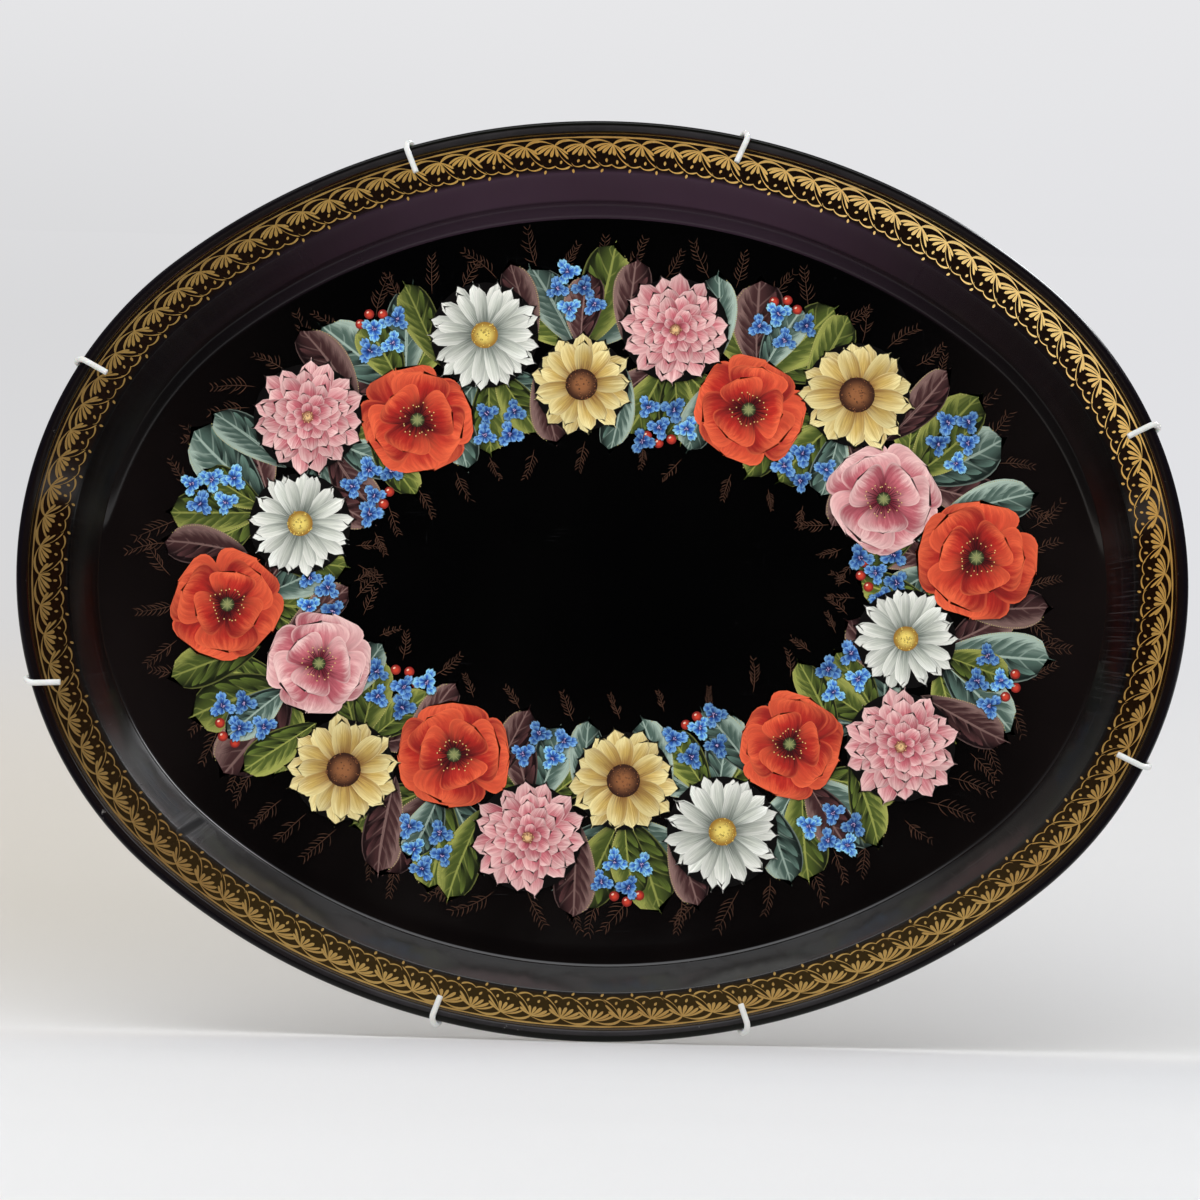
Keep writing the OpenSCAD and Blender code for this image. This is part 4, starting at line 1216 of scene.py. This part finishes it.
T_, B_, L_, R_ = (HALVES[k] for k in ("top", "bottom", "left", "right"))
spring("upright_coil_left", "upright_spring_left", hang_on(B_, 3, (0, 0, 1)), hang_on(T_, 3, (0, 0, -1)), 24.5 * 1.9, "hanger_bottom", "hanger_top")
spring("upright_coil_right", "upright_spring_right", hang_on(B_, 5, (0, 0, 1)), hang_on(T_, 5, (0, 0, -1)), 24.5 * 1.9, "hanger_bottom", "hanger_top")
spring("side_coil_upper", "side_spring_upper", hang_on(L_, 3, (1, 0, 0)), hang_on(R_, 3, (-1, 0, 0)), 34.5 * 1.9, "hanger_left", "hanger_right")
spring("side_coil_lower", "side_spring_lower", hang_on(L_, 5, (1, 0, 0)), hang_on(R_, 5, (-1, 0, 0)), 34.5 * 1.9, "hanger_left", "hanger_right")

# --------------------------------------------------------------- floor, light


FAR_LEFT, FAR_RIGHT = (0.645, 0.615, 0.575), (0.735, 0.740, 0.745)
MID_LEFT, MID_RIGHT, HIGH = (0.690, 0.690, 0.702), (0.755, 0.757, 0.780), (0.805, 0.805, 0.820)


floor_z = float(row([0, -B, 0])[0][2]) - 0.0002
EYE_Y, EYE_Z = float(cam.location[1]), float(cam.location[2])


def floor_material():
    m = Tree("pale_floor")
    o = m.obj()
    so = m.sep(o)
    away = m.math("MAXIMUM", m.math("SUBTRACT", so[1], EYE_Y), 0.5)
    aside = m.math("DIVIDE", so[0], away)
    rise = m.math("DIVIDE", m.math("SUBTRACT", so[2], EYE_Z), away)
    c = m.mix(m.ramp(m.noise(o, 3.0, 3.0), 0.3, 0.7), (0.808, 0.808, 0.811), (0.828, 0.828, 0.830))
    # painted shade: the rising part is painted darker, and warmer on the left
    c = m.mix(m.ramp(so[1], -0.05, 0.36), c, m.mix(m.ramp(aside, -0.20, 0.20), (0.625, 0.598, 0.550), (0.775, 0.775, 0.782)))
    # painted shade: as mirrored in the lacquer, the floor in front is painted nearly black, as if it lay in the dark
    # of the room
    lp_ = m.n("ShaderNodeLightPath")
    front = m.ramp(so[1], 0.0, -0.14)
    c = m.mix(m.math("MULTIPLY", lp_.outputs["Is Glossy Ray"], m.math("MULTIPLY", front, 0.96)), c, (0.01, 0.01, 0.01))
    m.put(m.b.inputs["Base Color"], c)
    m.b.inputs["Roughness"].default_value = 0.6
    m.b.inputs["Specular IOR Level"].default_value = 0.2
    # far off, the floor glows with painted light in the pale room's colours, so it runs into the room without an edge
    far_off = m.math("MAXIMUM", m.ramp(so[1], 0.35, 1.3), m.math("MAXIMUM", m.ramp(m.math("ABSOLUTE", so[0]), 1.2, 3.0), m.ramp(so[1], -1.7, -3.4)))
    glow = m.n("ShaderNodeEmission")
    low = m.mix(m.ramp(aside, -0.20, 0.20), FAR_LEFT, FAR_RIGHT)
    upper = m.mix(m.ramp(aside, -0.20, 0.10), MID_LEFT, MID_RIGHT)
    far = m.mix(m.ramp(rise, 0.20, 0.34), m.mix(m.ramp(rise, 0.0, 0.16), low, upper), HIGH)
    m.put(glow.inputs["Color"], far)
    mixed = m.n("ShaderNodeMixShader")
    m.put(mixed.inputs[0], far_off)
    m.put(mixed.inputs[1], m.b.outputs[0])
    m.put(mixed.inputs[2], glow.outputs[0])
    # the sweep is one-sided, so it hides nothing that is looked at from under it
    side = m.n("ShaderNodeNewGeometry")
    clear = m.n("ShaderNodeBsdfTransparent")
    sided = m.n("ShaderNodeMixShader")
    m.put(sided.inputs[0], side.outputs["Backfacing"])
    m.put(sided.inputs[1], mixed.outputs[0])
    m.put(sided.inputs[2], clear.outputs[0])
    m.put(m.out.inputs["Surface"], sided.outputs[0])
    return m.mat


CURVE, FOOT, SLOPE = 0.45, -0.03, 0.27
top_y = FOOT + SLOPE / (2 * CURVE)
lines = [-9.0, -2.0, -0.5, FOOT] + [FOOT + (top_y - FOOT) * k / 24 for k in range(1, 25)] + [0.6, 1.2, 2.5, 6.0, 14.0]


def sweep(y):
    if y <= FOOT:
        return floor_z
    if y <= top_y:
        return floor_z + CURVE * (y - FOOT) ** 2
    return floor_z + CURVE * (top_y - FOOT) ** 2 + SLOPE * (y - top_y)


fl = make("floor", [(x, y, sweep(y)) for y in lines for x in (-14.0, 14.0)], [(2 * k, 2 * k + 1, 2 * k + 3, 2 * k + 2) for k in range(len(lines) - 1)], floor_material())

w = bpy.data.worlds.new("studio")
bpy.context.scene.world = w
w.use_nodes = True
nt = w.node_tree


def wn(kind, **kw):
    x = nt.nodes.new(kind)
    for k_, v_ in kw.items():
        setattr(x, k_, v_)
    return x


def wmath(op, a, b=0.0, c=0.0):
    x = wn("ShaderNodeMath", operation=op)
    for i, v_ in enumerate((a, b, c)):
        if isinstance(v_, bpy.types.NodeSocket):
            nt.links.new(v_, x.inputs[i])
        else:
            x.inputs[i].default_value = v_
    return x.outputs[0]


def wramp(v, lo, hi, to0, to1):
    x = wn("ShaderNodeMapRange", interpolation_type="SMOOTHSTEP")
    nt.links.new(v, x.inputs[0])
    for i, q in enumerate((lo, hi, to0, to1)):
        x.inputs[i + 1].default_value = q
    return x.outputs[0]


# what the camera sees is a plain pale room; what the lacquer mirrors is a room
# that is dark straight in front and lighter above and to the sides
bg = nt.nodes["Background"]
room = wn("ShaderNodeBackground")
room.inputs["Color"].default_value = (0.95, 0.97, 1.0, 1)
dirs = wn("ShaderNodeSeparateXYZ")
nt.links.new(wn("ShaderNodeTexCoord").outputs["Generated"], dirs.inputs[0])
ax_ = wmath("ABSOLUTE", dirs.outputs[0])
high = wmath("MULTIPLY", wramp(dirs.outputs[2], 0.30, 0.85, 0.0, 0.30), wramp(dirs.outputs[1], -0.50, -0.20, 0.0, 1.0))
wide = wmath("MULTIPLY", wramp(ax_, 0.30, 0.90, 0.0, 0.12), wramp(dirs.outputs[1], -0.25, 0.20, 0.0, 1.0))
rear = wramp(dirs.outputs[1], -0.1, 0.6, 0.0, 0.16)
# a tall window to the upper right and a ceiling lamp, seen only as highlights in the lacquer
PANE = math.radians(52)
off_ = wmath("ABSOLUTE", wmath("SUBTRACT", wmath("MULTIPLY", dirs.outputs[0], math.sin(PANE)), wmath("MULTIPLY", dirs.outputs[2], math.cos(PANE))))
on_ = wmath("ADD", wmath("MULTIPLY", dirs.outputs[0], math.cos(PANE)), wmath("MULTIPLY", dirs.outputs[2], math.sin(PANE)))
pane = wmath("MULTIPLY", wmath("MULTIPLY", wramp(off_, 0.30, 0.12, 0.0, 1.0), wramp(on_, 0.62, 0.78, 0.0, 1.0)), wramp(wmath("ABSOLUTE", wmath("ADD", dirs.outputs[1], 0.13)), 0.075, 0.035, 0.0, 9.0))
lamp = wmath("MULTIPLY", wramp(wmath("ABSOLUTE", wmath("ADD", dirs.outputs[1], 0.20)), 0.24, 0.10, 0.0, 2.4), wramp(dirs.outputs[2], 0.82, 0.95, 0.0, 1.0))
streak = wmath("MULTIPLY", wmath("MULTIPLY", wramp(off_, 0.17, 0.06, 0.0, 1.0), wramp(on_, 0.45, 0.60, 0.0, 1.0)), wmath("MULTIPLY", wramp(dirs.outputs[1], 0.0, 0.10, 0.0, 1.0), wramp(dirs.outputs[1], 0.70, 0.58, 0.0, 20.0)))
lp = wn("ShaderNodeLightPath")
mirrored = wmath("ADD", 0.012, wmath("MAXIMUM", wmath("MAXIMUM", pane, wmath("MAXIMUM", lamp, streak)), wmath("MAXIMUM", high, wmath("MAXIMUM", wide, rear))))
# the floor and the paint are lit by a wide soft sky in front
sky = wramp(dirs.outputs[1], 0.45, -0.35, 0.58, 0.86)
gl = lp.outputs["Is Glossy Ray"]
nt.links.new(wmath("ADD", wmath("MULTIPLY", mirrored, gl), wmath("MULTIPLY", sky, wmath("SUBTRACT", 1.0, gl))), room.inputs["Strength"])


def wmixc(f, a, b):
    x = wn("ShaderNodeMix", data_type="RGBA")
    nt.links.new(f, x.inputs["Factor"])
    for sock, v_ in ((x.inputs[6], a), (x.inputs[7], b)):
        if isinstance(v_, bpy.types.NodeSocket):
            nt.links.new(v_, sock)
        else:
            sock.default_value = (*v_, 1.0)
    return x.outputs[2]


side_ = wramp(dirs.outputs[0], -0.20, 0.20, 0.0, 1.0)
low_ = wmixc(side_, FAR_LEFT, FAR_RIGHT)
mid_ = wmixc(wramp(dirs.outputs[0], -0.20, 0.10, 0.0, 1.0), MID_LEFT, MID_RIGHT)
col_ = wmixc(wramp(dirs.outputs[2], 0.0, 0.16, 0.0, 1.0), low_, mid_)
nt.links.new(wmixc(wramp(dirs.outputs[2], 0.20, 0.34, 0.0, 1.0), col_, HIGH), bg.inputs["Color"])
mx = wn("ShaderNodeMixShader")
nt.links.new(lp.outputs["Is Camera Ray"], mx.inputs[0])
nt.links.new(room.outputs[0], mx.inputs[1])
nt.links.new(bg.outputs[0], mx.inputs[2])
nt.links.new(mx.outputs[0], nt.nodes["World Output"].inputs[0])


def area(name, loc, aim, size, power, col=(1, 1, 1)):
    d = bpy.data.lights.new(name, "AREA")
    d.shape = "RECTANGLE"
    d.size, d.size_y = size
    d.energy = power
    d.color = col
    o = link(bpy.data.objects.new(name, d))
    o.location = loc
    o.rotation_euler = (Vector(aim) - Vector(loc)).to_track_quat("-Z", "Y").to_euler()
    return o


tc = tuple(centre)
# an even light over the whole floor
d = bpy.data.lights.new("daylight", "SUN")
d.energy = 0.45
d.angle = math.radians(70)
sun = link(bpy.data.objects.new("daylight", d))
sun.rotation_euler = Vector((0.07, 0.66, -0.745)).to_track_quat("-Z", "Y").to_euler()
sun.visible_glossy = False
fr = area("front", (-0.30, -1.20, 1.05), tc, (1.5, 0.8), 7)
fr.visible_glossy = False
rr_ = area("rear", (-0.6, 1.6, 0.9), tc, (1.2, 1.2), 9, (1.0, 0.82, 0.58))
rr_.visible_glossy = False
bpy.context.scene.view_settings.view_transform = "Standard"

# ------------------------------------------------------------------ bounds
lo, hi = np.full(3, 1e9), np.full(3, -1e9)
dg = bpy.context.evaluated_depsgraph_get()
for o in bpy.context.scene.objects:
    if o.type == "MESH" and o.name != "floor" and not o.hide_render:
        c = np.array([o.matrix_world @ Vector(b) for b in o.bound_box])
        lo, hi = np.minimum(lo, c.min(axis=0)), np.maximum(hi, c.max(axis=0))
